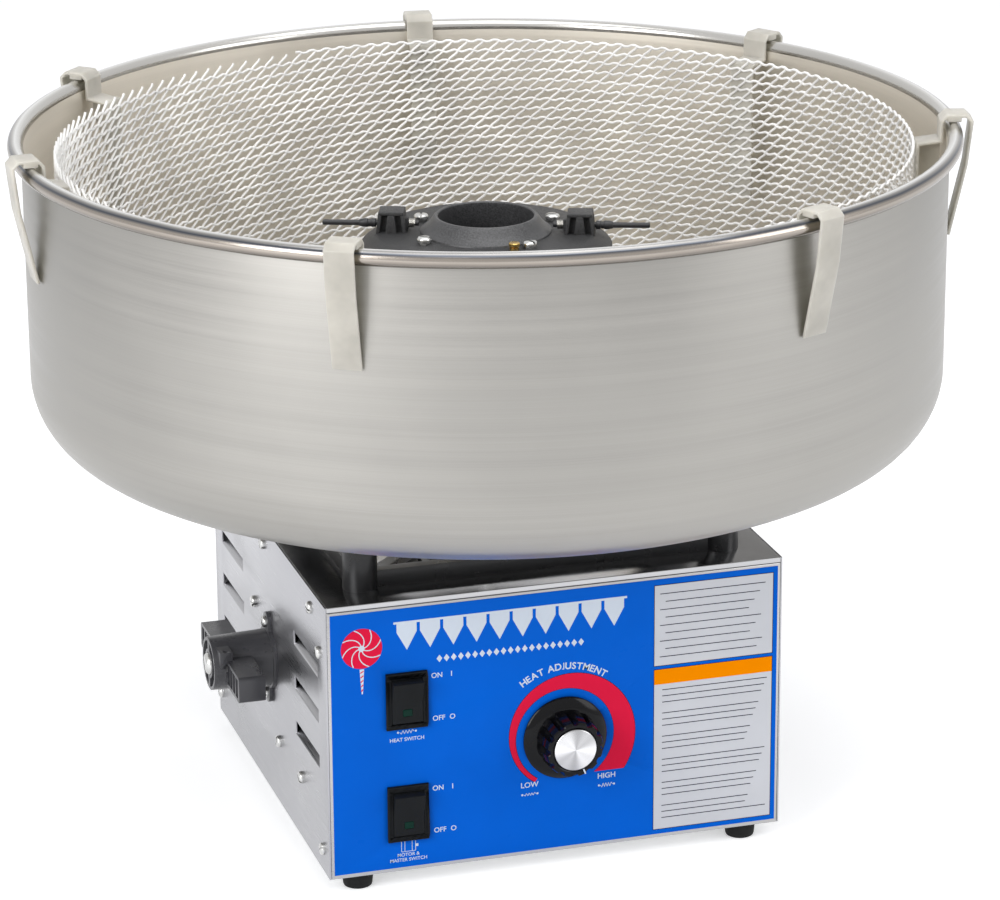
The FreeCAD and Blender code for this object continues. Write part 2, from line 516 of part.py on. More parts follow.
def build_switch(name, z):
    pivot = vec(SWITCH_X, PRINT_Y, z)
    tip, back, r = rocker_outline()

    def place(u, v):
        return vec(SWITCH_X - ROCKER_W / 2, PRINT_Y - u, z + v)

    steps = [((0, r), back), (back[0], -back[1]), ((0, -r), (tip[0], -tip[1])), (ROCKER_FACE, 0)]
    rocker = outline(place, tip, steps).extrude(vec(ROCKER_W, 0, 0))
    pin_len = ROCKER_W + 2 * ROCKER_PIN_L
    pin = cylinder(ROCKER_PIN_R, pin_len, pivot - X_AXIS * (pin_len / 2), X_AXIS)
    lens_face = ROCKER_FACE + LENS_DROP * math.tan(math.radians(ROCKER_DISH))
    lens = block(-LENS_W / 2, LENS_W / 2, -LENS_T, 0, -LENS_H / 2, LENS_H / 2)
    pocket = block(-LENS_W / 2 - RUNNING_GAP, LENS_W / 2 + RUNNING_GAP, -LENS_T - RUNNING_GAP, 1,
                   -LENS_H / 2 - RUNNING_GAP, LENS_H / 2 + RUNNING_GAP)

    def seat(shape):
        flipped = turned(shape, 180, Z_AXIS)
        leaned = turned(flipped, -ROCKER_DISH, X_AXIS)
        return moved(leaned, SWITCH_X, PRINT_Y - lens_face, z - LENS_DROP)

    rocker = rocker.fuse(pin).cut(seat(pocket))
    keep(name + "_rocker", turned(rocker, ROCKER_TILT, X_AXIS, pivot))
    keep(name + "_lens", turned(seat(lens), ROCKER_TILT, X_AXIS, pivot))

    half_w, half_h = BEZEL_W / 2, BEZEL_H / 2
    bezel = block(SWITCH_X - half_w, SWITCH_X + half_w, PRINT_Y - BEZEL_T, PRINT_Y, z - half_h, z + half_h)
    front_edges = [e for e in bezel.Edges if e.BoundBox.YMax < PRINT_Y - BEZEL_T / 2]
    bezel = bezel.makeChamfer(BEZEL_CHAMFER, front_edges)
    in_w, in_h = ROCKER_W / 2 + FIT_GAP, ROCKER_H / 2 + FIT_GAP
    body_w, body_h = half_w - BEZEL_LAP, half_h - BEZEL_LAP
    body = block(SWITCH_X - body_w, SWITCH_X + body_w, PRINT_Y, PRINT_Y + SWITCH_BODY_DEPTH,
                 z - body_h, z + body_h)
    well = block(SWITCH_X - in_w, SWITCH_X + in_w, PRINT_Y - 2 * BEZEL_T, PRINT_Y + ROCKER_BACK + WELL_BACK,
                 z - in_h, z + in_h)
    pin_hole = cylinder(ROCKER_PIN_R + RUNNING_GAP, pin_len + 2 * SWITCH_FIT,
                        pivot - X_AXIS * (pin_len / 2 + SWITCH_FIT), X_AXIS)
    blade_y = PRINT_Y + SWITCH_BODY_DEPTH
    blades = [block(SWITCH_X + dx - BLADE_W / 2, SWITCH_X + dx + BLADE_W / 2, blade_y, blade_y + BLADE_L,
                    z + dz - BLADE_T / 2, z + dz + BLADE_T / 2)
              for dx in (-BLADE_X, BLADE_X) for dz in BLADE_ROWS_Z]
    keep(name + "_body", bezel.fuse([body] + blades).cut(well).cut(pin_hole))


def build_knob():
    centre = vec(KNOB_X, PRINT_Y, KNOB_Z)
    back = KNOB_STAND_OFF
    top = back + KNOB_H
    cap_z = top - KNOB_CAP_T
    neck = back + KNOB_SKIRT_H
    body = lathe((KNOB_CAP_R + KNOB_RIM, top), (KNOB_GRIP_R, top), (KNOB_GRIP_R, neck),
                 (KNOB_SKIRT_R, back + KNOB_EDGE), (KNOB_SKIRT_R, back), (0, back), (0, cap_z),
                 (KNOB_CAP_R + KNOB_RIM, cap_z))
    flute = hexagon(2 * KNOB_FLUTE_R, KNOB_H, vec(KNOB_GRIP_R + KNOB_FLUTE_OUT, 0, neck), Z_AXIS)
    flutes = [turned(flute, 360 * i / KNOB_FLUTES) for i in range(KNOB_FLUTES)]
    nut_room = cylinder(CONTROL_NUT_AF / math.sqrt(3) + KNOB_NUT_ROOM, CONTROL_NUT_T + KNOB_NUT_OVER,
                        vec(0, 0, back))
    bore = cylinder(CONTROL_SHAFT_R + RUNNING_GAP, cap_z - KNOB_BORE_SHORT, ORIGIN)
    body = body.cut(Part.makeCompound(flutes)).cut(nut_room).cut(bore)
    crown = top + KNOB_CAP_PROUD
    cap = lathe((0, cap_z), (KNOB_CAP_R, cap_z), (KNOB_CAP_R, crown - KNOB_CAP_EDGE),
                (KNOB_CAP_R - KNOB_CAP_EDGE, crown), (0, crown))
    stem = SHEET + OVERLAY_T
    shaft_z = -stem - CONTROL_BUSH_L
    shaft = cylinder(CONTROL_SHAFT_R, cap_z - KNOB_SHAFT_SHORT - shaft_z, vec(0, 0, shaft_z))
    can = cylinder(CONTROL_BODY_R, CONTROL_BODY_L, vec(0, 0, -stem - CONTROL_BODY_L))
    bush = cylinder(CONTROL_BUSH_R, stem + CONTROL_NUT_T + CONTROL_BUSH_PROUD, vec(0, 0, -stem))
    bush_bore = cylinder(CONTROL_SHAFT_R + RUNNING_GAP, KNOB_H, vec(0, 0, shaft_z))
    nut = hexagon(CONTROL_NUT_AF, CONTROL_NUT_T, ORIGIN, Z_AXIS)
    nut = nut.cut(cylinder(CONTROL_BUSH_R + RUNNING_GAP, CONTROL_NUT_T, ORIGIN))
    place = FreeCAD.Placement(centre, FreeCAD.Rotation(Z_AXIS, -Y_AXIS))
    for name, shape in (("knob_body", body), ("knob_cap", cap), ("control_shaft", shaft),
                        ("heat_control", can.fuse(bush).cut(bush_bore)), ("control_nut", nut)):
        shape.Placement = place.multiply(shape.Placement)
        keep(name, shape)


# ---------------------------------------------------------------- bowl support on the deck
def build_support():
    """Ring that the bowl sits on, and the frame of posts, arms and rails that carries it."""
    seat_z = BOWL_Z - SEAT_T
    keep("support_seat", tube(SEAT_R, BOWL_HOLE_R + FIT_GAP, SEAT_T, vec(0, 0, seat_z)))
    posts = [cylinder(POST_R, SUPPORT_H, vec(sx * POST_XY, sy * POST_XY, DECK_Z))
             for sx in (-1, 1) for sy in (-1, 1)]
    reach = POST_XY * math.sqrt(2)
    arm_top = block(SEAT_R - SEAT_LAP, reach, -SUPPORT_ARM_W / 2, SUPPORT_ARM_W / 2,
                    BOWL_Z - 2 * SEAT_T, BOWL_Z)
    arm_low = block(SUPPORT_TUBE_R - SUPPORT_TUBE_T / 2, reach, -RAIL_W / 2, RAIL_W / 2,
                    DECK_Z, DECK_Z + RAIL_H / 2)
    arms = [turned(arm, 45 + 90 * i) for i in range(4) for arm in (arm_top, arm_low)]
    rail = block(-POST_XY, POST_XY, -POST_XY - RAIL_W / 2, -POST_XY + RAIL_W / 2, DECK_Z, DECK_Z + RAIL_H)
    rails = [turned(rail, 90 * i) for i in range(4)]
    collar = tube(SUPPORT_TUBE_R, SUPPORT_TUBE_R - SUPPORT_TUBE_T, SUPPORT_TUBE_H, vec(0, 0, DECK_Z))
    ears = []
    for sx in (-1, 1):
        for sy in (-1, 1):
            x, y = sx * SUPPORT_SCREW[0], sy * SUPPORT_SCREW[1]
            ears.append(block(x - SUPPORT_EAR / 2, x + SUPPORT_EAR / 2, y - sy * SUPPORT_EAR / 2, sy * POST_XY,
                              DECK_Z, DECK_Z + RAIL_H / 2))
    body = collar.fuse(posts + arms + rails + ears)
    keep("bowl_support", body.cut(cylinder(SEAT_R + FIT_GAP, 2 * SEAT_T, vec(0, 0, seat_z))))


# ---------------------------------------------------------------- motor and drive
def build_motor():
    plate = block(-MOTOR_PLATE_W / 2, MOTOR_PLATE_W / 2, -MOTOR_PLATE_W / 2, MOTOR_PLATE_W / 2,
                  MOTOR_TOP, MOTOR_PLATE_Z)
    upright = [e for e in plate.Edges if abs(e.tangentAt(e.FirstParameter).z) > 0.9]
    plate = plate.makeFillet(MOTOR_PLATE_CORNER, upright)
    hole = cylinder(BEARING_R + RUNNING_GAP, 3 * MOTOR_PLATE_T, vec(0, 0, MOTOR_TOP - MOTOR_PLATE_T))
    keep("motor_plate", plate.cut(hole))
    half = ISOLATOR_W / 2
    isolator = block(-half, half, -half, half, MOTOR_PLATE_Z, MOTOR_PLATE_Z + ISOLATOR_L)
    keep("motor_isolators", Part.makeCompound([moved(isolator, sx * ISOLATOR_AT, sy * ISOLATOR_AT)
                                               for sx in (-1, 1) for sy in (-1, 1)]))
    can_len = MOTOR_L - BELL_H
    can = cylinder(MOTOR_R, can_len, vec(0, 0, MOTOR_TOP - can_len))
    inside = cylinder(MOTOR_R - MOTOR_WALL, can_len - MOTOR_WALL, vec(0, 0, MOTOR_TOP - can_len))
    bore = cylinder(SHAFT_R + RUNNING_GAP, 2 * MOTOR_WALL, vec(0, 0, MOTOR_TOP - 2 * MOTOR_WALL))
    keep("motor_can", can.cut(inside).cut(bore))
    low = MOTOR_TOP - MOTOR_L
    rise, floor, bore_r = low + BELL_H, low + MOTOR_WALL, SHAFT_R + RUNNING_GAP
    bell = lathe((0, low), (MOTOR_R - BELL_H, low), (MOTOR_R, rise), (bore_r, rise), (bore_r, floor),
                 (0, floor))
    keep("motor_end_bell", bell)
    stator_z = MOTOR_TOP - MOTOR_L / 2 - ROTOR_L / 2
    keep("motor_stator", tube(MOTOR_R - MOTOR_WALL - RUNNING_GAP, ROTOR_R + AIR_GAP, ROTOR_L,
                              vec(0, 0, stator_z)))
    keep("motor_rotor", tube(ROTOR_R, SHAFT_R + RUNNING_GAP, ROTOR_L, vec(0, 0, stator_z)))
    shaft_low, shaft_top = floor + FIT_GAP, BASE_TOP_Z + SHAFT_PROUD
    keep("motor_shaft", cylinder(SHAFT_R, shaft_top - shaft_low, vec(0, 0, shaft_low)))
    keep("shaft_bearing", tube(BEARING_R, SHAFT_R + RUNNING_GAP, BEARING_H, vec(0, 0, MOTOR_TOP)))

    hub_z = MOTOR_PLATE_Z + BEARING_H
    hub = tube(RING_HUB_R, SHAFT_R + RUNNING_GAP, RING_HUB_L, vec(0, 0, hub_z))
    ring_z = [hub_z + RING_FIRST + i * (RING_W + RING_GAP) for i in range(2)]
    rings = [tube(RING_R, RING_HUB_R + RUNNING_GAP, RING_W, vec(0, 0, z)) for z in ring_z]
    keep("slip_ring_hub", hub)
    keep("slip_rings", Part.makeCompound(rings))
    brush_x = RING_R + FIT_GAP
    brushes = [block(brush_x, brush_x + BRUSH_L, -BRUSH_W / 2, BRUSH_W / 2,
                     z + BRUSH_NARROWER, z + RING_W - BRUSH_NARROWER) for z in ring_z]
    keep("carbon_brushes", Part.makeCompound(brushes))
    holder_x, brush_end = brush_x + HOLDER_IN, brush_x + BRUSH_L
    holder = block(holder_x, brush_end + HOLDER_BACK, -BRUSH_W, BRUSH_W,
                   MOTOR_PLATE_Z, ring_z[1] + RING_W + HOLDER_OVER)
    foot_plate = block(holder_x, brush_end + HOLDER_FOOT, -BRUSH_W, BRUSH_W,
                       MOTOR_PLATE_Z, MOTOR_PLATE_Z + HOLDER_FOOT_T)
    half, low_gap = BRUSH_W / 2 + RUNNING_GAP, BRUSH_NARROWER - RUNNING_GAP
    rooms = [block(brush_x, brush_end + RUNNING_GAP, -half, half, z + low_gap, z + RING_W - low_gap)
             for z in ring_z]
    keep("brush_holder", holder.fuse(foot_plate).cut(Part.makeCompound(rooms)))


# ---------------------------------------------------------------- spinning head
def tower(side):
    """Slotted guide block for a radial rod, wider at its foot."""
    half, low, top = TOWER_L / 2, PLATE_Z - TOWER_SINK, PLATE_Z + TOWER_H
    face = outline(lambda x, z: vec(TOWER_AT + x, -TOWER_W / 2, z), (-half - TOWER_FLARE, low),
                   [(half + TOWER_FLARE, low), (half, top), (-half, top)])
    slot = block(-TOWER_SLOT_W / 2, TOWER_SLOT_W / 2, -TOWER_W, TOWER_W,
                 PLATE_Z + TOWER_FLOOR, PLATE_Z + TOWER_FLOOR + TOWER_SLOT_H)
    slots = [moved(slot, TOWER_AT + s * TOWER_SLOT_AT) for s in (-1, 1)]
    bore = cylinder(ROD_R + RUNNING_GAP, 2 * TOWER_L, vec(TOWER_AT - TOWER_L, 0, PLATE_Z + ROD_Z), X_AXIS)
    body = face.extrude(vec(0, TOWER_W, 0)).cut(Part.makeCompound(slots + [bore]))
    return turned(body, 0 if side > 0 else 180)


def build_head():
    def head(name, shape):
        keep(name, turned(shape, HEAD_TURN_ANGLE))

    top_in = COLLAR_TOP_R - COLLAR_WALL
    cover = lathe((top_in + COLLAR_FLARE, COVER_Z0), (HEAD_PLATE_R, COVER_Z0),
                  (HEAD_PLATE_R, COVER_Z0 + HEAD_EDGE), (HEAD_PLATE_TOP_R, PLATE_Z), (COLLAR_BASE_R, PLATE_Z),
                  (COLLAR_BASE_R, PLATE_Z + COLLAR_STEP),
                  (COLLAR_WAIST_R, PLATE_Z + COLLAR_H * COLLAR_WAIST), (COLLAR_TOP_R, HEAD_TOP_Z),
                  (top_in, HEAD_TOP_Z))
    head("head_cover", cover.fuse([tower(1), tower(-1)]))

    post = hexagon(2 * HEAD_POST_R, HEAD_SLOT_H, vec(HEAD_POST_AT, 0, BASE_TOP_Z), Z_AXIS)
    posts = [turned(post, 45 + 90 * i) for i in range(4)]
    bore_r, rim_in = SHAFT_R + RUNNING_GAP, HEAD_BASE_R - HEAD_RIM_T
    base = lathe((bore_r, BASE_Z0 - HEAD_HUB_L), (HEAD_HUB_R, BASE_Z0 - HEAD_HUB_L), (HEAD_HUB_R, BASE_Z0),
                 (HEAD_BASE_R, BASE_Z0), (HEAD_BASE_R, BASE_TOP_Z + HEAD_RIM_H),
                 (rim_in, BASE_TOP_Z + HEAD_RIM_H), (rim_in, BASE_TOP_Z), (bore_r, BASE_TOP_Z))
    head("head_base", base.fuse(posts))
    band = tube(ELEMENT_R + ELEMENT_T / 2, ELEMENT_R - ELEMENT_T / 2, HEAD_SLOT_H - 2 * FIT_GAP,
                vec(0, 0, BASE_TOP_Z + FIT_GAP))
    slots = []
    for i in range(ELEMENT_SLOTS):
        lift = ELEMENT_SHIFT if i % 2 else -ELEMENT_SHIFT
        cut = block(ELEMENT_R - ELEMENT_T, ELEMENT_R + ELEMENT_T, -ELEMENT_SLOT_W / 2, ELEMENT_SLOT_W / 2,
                    BASE_TOP_Z + FIT_GAP + lift, BASE_TOP_Z + HEAD_SLOT_H - FIT_GAP + lift)
        slots.append(turned(cut, 360 * i / ELEMENT_SLOTS))
    head("heating_element", band.cut(Part.makeCompound(slots)))

    rod_z = PLATE_Z + ROD_Z
    foot_half = TOWER_L / 2 + TOWER_FLARE
    spring_x = TOWER_AT - foot_half - FIT_GAP - SPRING_L
    rod = cylinder(ROD_R, ROD_END - spring_x + ROD_PROUD, vec(spring_x - ROD_PROUD, 0, rod_z), X_AXIS)
    sleeve = cylinder(SLEEVE_R, SLEEVE_L, vec(TOWER_AT + foot_half + FIT_GAP, 0, rod_z), X_AXIS)
    pin = rod.fuse(sleeve)
    head("rod_right", pin)
    head("rod_left", turned(pin, 180))
    coil = tube(SPRING_R, ROD_R + RUNNING_GAP, SPRING_L, vec(spring_x, 0, rod_z), X_AXIS)
    head("rod_springs", Part.makeCompound([coil, turned(coil, 180)]))

    def on_plate(degrees):
        a = math.radians(degrees)
        return vec(HEAD_SCREW_AT * math.sin(a), -HEAD_SCREW_AT * math.cos(a), PLATE_Z)

    keep("head_screws", Part.makeCompound([hexagon(2 * HEAD_SCREW_R, HEAD_SCREW_H, on_plate(a), Z_AXIS)
                                           for a in HEAD_SCREW_ANGLES]))
    keep("head_terminal", cylinder(TERMINAL_R, TERMINAL_H, on_plate(TERMINAL_ANGLE)))


# ---------------------------------------------------------------- bowl, net and clips
def bend(radius, mid_r, mid_z, start, end, parts):
    """Points along an arc in the (radius, height) plane, for a bend rolled in narrow flats."""
    angles = [math.radians(start + (end - start) * i / parts) for i in range(parts + 1)]
    return [(mid_r + radius * math.cos(a), mid_z + radius * math.sin(a)) for a in angles]


def build_bowl():
    """Spun bowl: neck turned down round the hole; flat floor; coved corner, upright wall and rolled bead."""
    hole_in, neck_r = BOWL_HOLE_R - BOWL_T, BOWL_HOLE_R + BOWL_NECK_W
    keep("bowl_neck", lathe((hole_in, BOWL_Z - BOWL_LIP), (BOWL_HOLE_R, BOWL_Z - BOWL_LIP),
                            (BOWL_HOLE_R, BOWL_Z), (neck_r, BOWL_Z), (neck_r, BOWL_Z + BOWL_T),
                            (hole_in, BOWL_Z + BOWL_T)))
    keep("bowl_floor", tube(BOWL_CORNER[0] - FIT_GAP, neck_r + FIT_GAP, BOWL_T, vec(0, 0, BOWL_Z)))
    cove_out = bend(BOWL_CORNER_R, *BOWL_CORNER, -90, 0, COVE_FLAT_COUNT)
    cove_in = bend(BOWL_CORNER_R - BOWL_T, *BOWL_CORNER, 0, -90, COVE_FLAT_COUNT)
    bead = bend(BOWL_BEAD_R, BEAD_MID_R, BEAD_Z, -BEAD_WRAP_ANGLE, BEAD_WRAP_ANGLE, BEAD_FLAT_COUNT)
    keep("bowl", lathe(*cove_out, (BOWL_WALL_R, bead[0][1]), *bead, (BOWL_IN_R, bead[-1][1]), *cove_in))


def net_floor():
    """Height at which the net's outer edge meets the bowl's coved corner."""
    edge_r = NET_R + NET_T / 2
    cove = bend(BOWL_CORNER_R - BOWL_T, *BOWL_CORNER, -90, 0, COVE_FLAT_COUNT)
    for (r0, z0), (r1, z1) in zip(cove, cove[1:]):
        if edge_r <= r1:
            return z0 + (z1 - z0) * (edge_r - r0) / (r1 - r0) + FIT_GAP


def flat_sided(radius, sides, z, height):
    """Upright prism with a corner at the front."""
    corners = [vec(radius * math.sin(2 * math.pi * i / sides), -radius * math.cos(2 * math.pi * i / sides), z)
               for i in range(sides)]
    return Part.Face(Part.makePolygon(corners + [corners[0]])).extrude(vec(0, 0, height))


def build_net():
    """Stiff plastic net: a band with staggered diamond openings, drawn coarser than the real weave."""
    low, top = net_floor(), BEAD_Z - NET_BELOW_RIM
    step = 360.0 / NET_CELLS
    outer, inner = [flat_sided(radius, 2 * NET_CELLS, low, top - low)
                    for radius in (NET_R + NET_T / 2, NET_R - NET_T / 2)]
    band = outer.cut(inner)
    half_w = NET_R * math.radians(step) / 2 - NET_KNOT / 2
    row_h = (top - low - 2 * NET_STRAND) / NET_ROWS
    half_h = (row_h - NET_STRAND) / 2
    windows = []
    for row in range(2 * NET_ROWS - 1):
        z = low + NET_STRAND + row_h * (row + 1) / 2
        corners = [(half_w, 0), (0, half_h), (-half_w, 0), (0, -half_h)]
        face = outline(lambda x, h: vec(x, -NET_R + 3 * NET_T, z + h), corners[0], corners[1:])
        cut = face.extrude(vec(0, -6 * NET_T, 0))
        windows += [turned(cut, step * (i + (row % 2) / 2)) for i in range(NET_CELLS)]
    keep("net", band.cut(Part.makeCompound(windows)))


def clip_profile():
    """Strip's outline as (radius, height), and the radii of its two inner legs."""
    top = BEAD_Z + CLIP_TOP - CLIP_T / 2
    out = BOWL_RIM_R + CLIP_STAND_OUT - CLIP_T / 2
    inner = BOWL_IN_R - CLIP_INNER_GAP
    leg = NET_R + NET_T / 2 + FIT_GAP + CLIP_T / 2
    step_z = BEAD_Z - CLIP_STEP_DROP
    path = [(BOWL_WALL_R + CLIP_TOE_GAP + CLIP_T / 2, BEAD_Z - CLIP_TOE_DROP),
            (out - CLIP_KNEE_IN, BEAD_Z - CLIP_KNEE_DROP), (out, top - CLIP_CHAMFER),
            (out - CLIP_CHAMFER, top), (inner + CLIP_CHAMFER, top), (inner, top - CLIP_CHAMFER),
            (inner, step_z), (leg, step_z - CLIP_T), (leg, BEAD_Z - CLIP_LEG_DROP)]
    return strap(path, CLIP_T), inner, leg


def clip():
    """Moulded clip at the front of the bowl: legs inside and outside, a saddle on the bead."""
    points, inner, leg = clip_profile()
    face = outline(lambda r, z: vec(-CLIP_W / 2, -r, z), points[0], points[1:])
    body = face.extrude(vec(CLIP_W, 0, 0))
    half = CLIP_SADDLE_W / 2
    saddle = block(-CLIP_W / 2, CLIP_W / 2, -BEAD_MID_R - half, -BEAD_MID_R + half,
                   BEAD_Z + BOWL_BEAD_R + FIT_GAP, BEAD_Z + CLIP_TOP - CLIP_T / 2)
    step_z = BEAD_Z - CLIP_STEP_DROP
    web_points = [(leg, step_z - CLIP_T), (inner, step_z), (inner, step_z - CLIP_WEB_TOP),
                  (leg, BEAD_Z - CLIP_WEB_DROP)]
    web = outline(lambda r, z: vec(-CLIP_T / 2, -r, z), web_points[0], web_points[1:])
    return body.fuse([saddle, web.extrude(vec(CLIP_T, 0, 0))])


def build_clips():
    piece = clip()
    for name, angle in CLIP_ANGLES.items():
        keep("clip_" + name, turned(piece, angle))


def main():
    build_cabinet()
    build_gland()
    build_cleat()
    for name, z in zip(("heat_switch", "motor_switch"), SWITCH_Z):
        build_switch(name, z)
    build_knob()
    build_support()
    build_motor()
    build_head()
    build_bowl()
    build_net()
    build_clips()
    os.makedirs("parts", exist_ok=True)
    for name, shape in nodes.items():
        shape.exportStep("parts/" + name + ".step")
    print(len(nodes), "nodes")


main()
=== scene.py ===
import json
import math

import bmesh
import bpy
from mathutils import Matrix, Vector


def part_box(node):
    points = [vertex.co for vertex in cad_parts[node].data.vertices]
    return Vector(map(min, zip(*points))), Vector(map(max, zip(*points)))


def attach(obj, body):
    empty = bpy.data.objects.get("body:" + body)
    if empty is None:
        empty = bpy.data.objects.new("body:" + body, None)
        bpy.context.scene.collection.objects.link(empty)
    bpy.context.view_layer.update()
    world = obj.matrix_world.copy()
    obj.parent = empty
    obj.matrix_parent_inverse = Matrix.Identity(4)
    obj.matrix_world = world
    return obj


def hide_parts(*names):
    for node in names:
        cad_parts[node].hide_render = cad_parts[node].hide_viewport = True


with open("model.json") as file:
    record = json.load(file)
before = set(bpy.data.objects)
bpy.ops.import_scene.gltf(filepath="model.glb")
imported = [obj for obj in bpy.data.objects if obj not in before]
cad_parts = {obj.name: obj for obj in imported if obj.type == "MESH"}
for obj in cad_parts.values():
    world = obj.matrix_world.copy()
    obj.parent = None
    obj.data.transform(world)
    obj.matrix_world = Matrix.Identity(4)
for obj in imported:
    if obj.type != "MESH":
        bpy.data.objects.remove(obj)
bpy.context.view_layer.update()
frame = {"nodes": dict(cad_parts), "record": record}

# Countertop floss machine: sheet-steel cabinet, spun bowl with a net and clips, slotted spinning head.
# Sizes below are in millimetres, and mm() turns them into the scene's metres.

# ---------------------------------------------------------------- sizes
FOOT_H = 12.0
CABINET_W, CABINET_D, CABINET_H = 327.0, 326.0, 199.0
DECK_Z = FOOT_H + CABINET_H
FRONT_Y = -CABINET_D / 2
PRINT_Y = FRONT_Y - 0.6               # face of the printed sheet

CLEAT_Y, CLEAT_Z = -4.0, 117.0
CLEAT_OUT, CLEAT_FLANGE_T, CLEAT_SCREW_RISE = 42.0, 3.0, 27.0
SUPPORT_FLANGE_T, SUPPORT_SCREW_X, SUPPORT_SCREW_Y = 6.0, 71.0, 107.0

BOWL_STAND, BOWL_H = 62.0, 215.0
BOWL_Z = DECK_Z + BOWL_STAND
BEAD_Z = BOWL_Z + BOWL_H
BOWL_WALL_R, BOWL_T, BOWL_CORNER_R = 321.0, 1.5, 52.0
BOWL_HOLE_R, BOWL_LIP = 122.0, 7.0
BEAD_OUT_R, BEAD_R = 330.2, 5.5
BEAD_MID_R = BEAD_OUT_R - BEAD_R

NET_R, NET_TOP = 298.0, BEAD_Z - 4.6
NET_LOW = 286.0
NET_COLUMNS, NET_ROWS = 156, 27
NET_STRAND_R = 1.0
NET_STEPS = 4                         # stretches of a strand between two crossings
NET_WAVE, NET_LEAN, NET_SWAY = 0.13, -0.62, 0.05   # shares of a row's pitch, and of a column
NET_RING_START, NET_RING_SHARE = -140 / 360, 0.675   # where the closed top edge starts, and how far it runs

HEAD_TURN = math.radians(-20.3)
HEAD_TOP_Z = 427.6
PLATE_Z = HEAD_TOP_Z - 12.0
COVER_Z0 = PLATE_Z - 12.0
ROD_Z = PLATE_Z + 5.2
TOWER_AT, TOWER_L, TOWER_W, TOWER_H, TOWER_FLARE = 66.0, 17.6, 18.0, 15.0, 2.0
COLLAR_R, HEAD_SCREW_R = 46.6, 53.5

KNOB_X, KNOB_Z = 4.8, 97.6
SWITCH_X = -107.6
SWITCH_Z = (138.5, 55.5)

X, Y, Z = Vector((1, 0, 0)), Vector((0, 1, 0)), Vector((0, 0, 1))


def mm(*values):
    return Vector(values) / 1000.0


# ---------------------------------------------------------------- wiring of the finishes
def node(tree, kind, inputs=None, **settings):
    made = tree.nodes.new(kind)
    for key, value in settings.items():
        setattr(made, key, value)
    for key, value in (inputs or {}).items():
        if isinstance(value, bpy.types.NodeSocket):
            tree.links.new(value, made.inputs[key])
        else:
            made.inputs[key].default_value = value
    return made


def sums(tree, operation, a, b=0.0):
    return node(tree, "ShaderNodeMath", {0: a, 1: b}, operation=operation).outputs[0]


def ramp(tree, value, low, high, start=0.0, end=1.0):
    """Value from start to end turned into a value or colour from low to high."""
    made = node(tree, "ShaderNodeValToRGB", {"Fac": value})
    stops = made.color_ramp.elements
    stops[0].position, stops[1].position = start, end
    stops[0].color = grey(low) if isinstance(low, float) else (*low, 1)
    stops[1].color = grey(high) if isinstance(high, float) else (*high, 1)
    return made.outputs["Color"]


def grey(level):
    return (level, level, level, 1)


def place(tree, scale=(1, 1, 1)):
    """Object coordinates, stretched by scale."""
    here = node(tree, "ShaderNodeTexCoord").outputs["Object"]
    return node(tree, "ShaderNodeMapping", {"Vector": here, "Scale": scale}).outputs[0]


def noise(tree, where, scale, detail=3.0, roughness=0.55, curl=0.0):
    made = node(tree, "ShaderNodeTexNoise", {"Vector": where, "Scale": scale, "Detail": detail,
                                             "Roughness": roughness, "Distortion": curl})
    return made.outputs["Fac"]


def start(name, colour, metallic=0.0, roughness=0.5, **more):
    """New material: its tree and its shader. The name of each further input is written with _ for a space."""
    finish = bpy.data.materials.new(name)
    finish.use_nodes = True
    tree = finish.node_tree
    shader = tree.nodes["Principled BSDF"]
    shader.inputs["Base Color"].default_value = (*colour, 1)
    shader.inputs["Metallic"].default_value = metallic
    shader.inputs["Roughness"].default_value = roughness
    for key, value in more.items():
        shader.inputs[key.replace("_", " ").title().replace("Ior", "IOR")].default_value = value
    finish.diffuse_color = (*colour, 1)
    return finish, tree, shader


def bump(tree, shader, height, strength, distance):
    made = node(tree, "ShaderNodeBump", {"Height": height, "Strength": strength, "Distance": distance})
    tree.links.new(made.outputs["Normal"], shader.inputs["Normal"])


def link(tree, output, shader, name):
    tree.links.new(output, shader.inputs[name])


def plain_plastic(name, colour, roughness=0.35, grain=0.15, grain_scale=900.0, mottle=1.0, **more):
    """Moulded plastic, rubber, enamel or print: fine grain, and faint mottling of its colour and gloss."""
    finish, tree, shader = start(name, colour, 0.0, roughness, **more)
    where = place(tree)
    gloss = ramp(tree, noise(tree, where, 60.0), max(roughness - 0.06, 0.02), roughness + 0.08, 0.3, 0.7)
    link(tree, gloss, shader, "Roughness")
    dark = tuple(c * (1 - 0.18 * mottle) for c in colour)
    light = tuple(min(c * (1 + 0.12 * mottle), 1.0) for c in colour)
    link(tree, ramp(tree, noise(tree, where, 35.0), dark, light, 0.3, 0.7), shader, "Base Color")
    bump(tree, shader, noise(tree, where, grain_scale), grain, 0.0002)
    return finish


def plain_metal(name, colour, roughness=0.25, stretch=(1, 1, 1), scale=300.0, depth=0.1):
    """Metal with a fine grain drawn out along one way."""
    finish, tree, shader = start(name, colour, 1.0, roughness)
    lines = noise(tree, place(tree, stretch), scale, 4.0, 0.65)
    link(tree, ramp(tree, lines, roughness * 0.75, roughness * 1.3, 0.3, 0.7), shader, "Roughness")
    dark = tuple(c * 0.93 for c in colour)
    link(tree, ramp(tree, lines, dark, colour, 0.3, 0.7), shader, "Base Color")
    bump(tree, shader, lines, depth, 0.0001)
    return finish


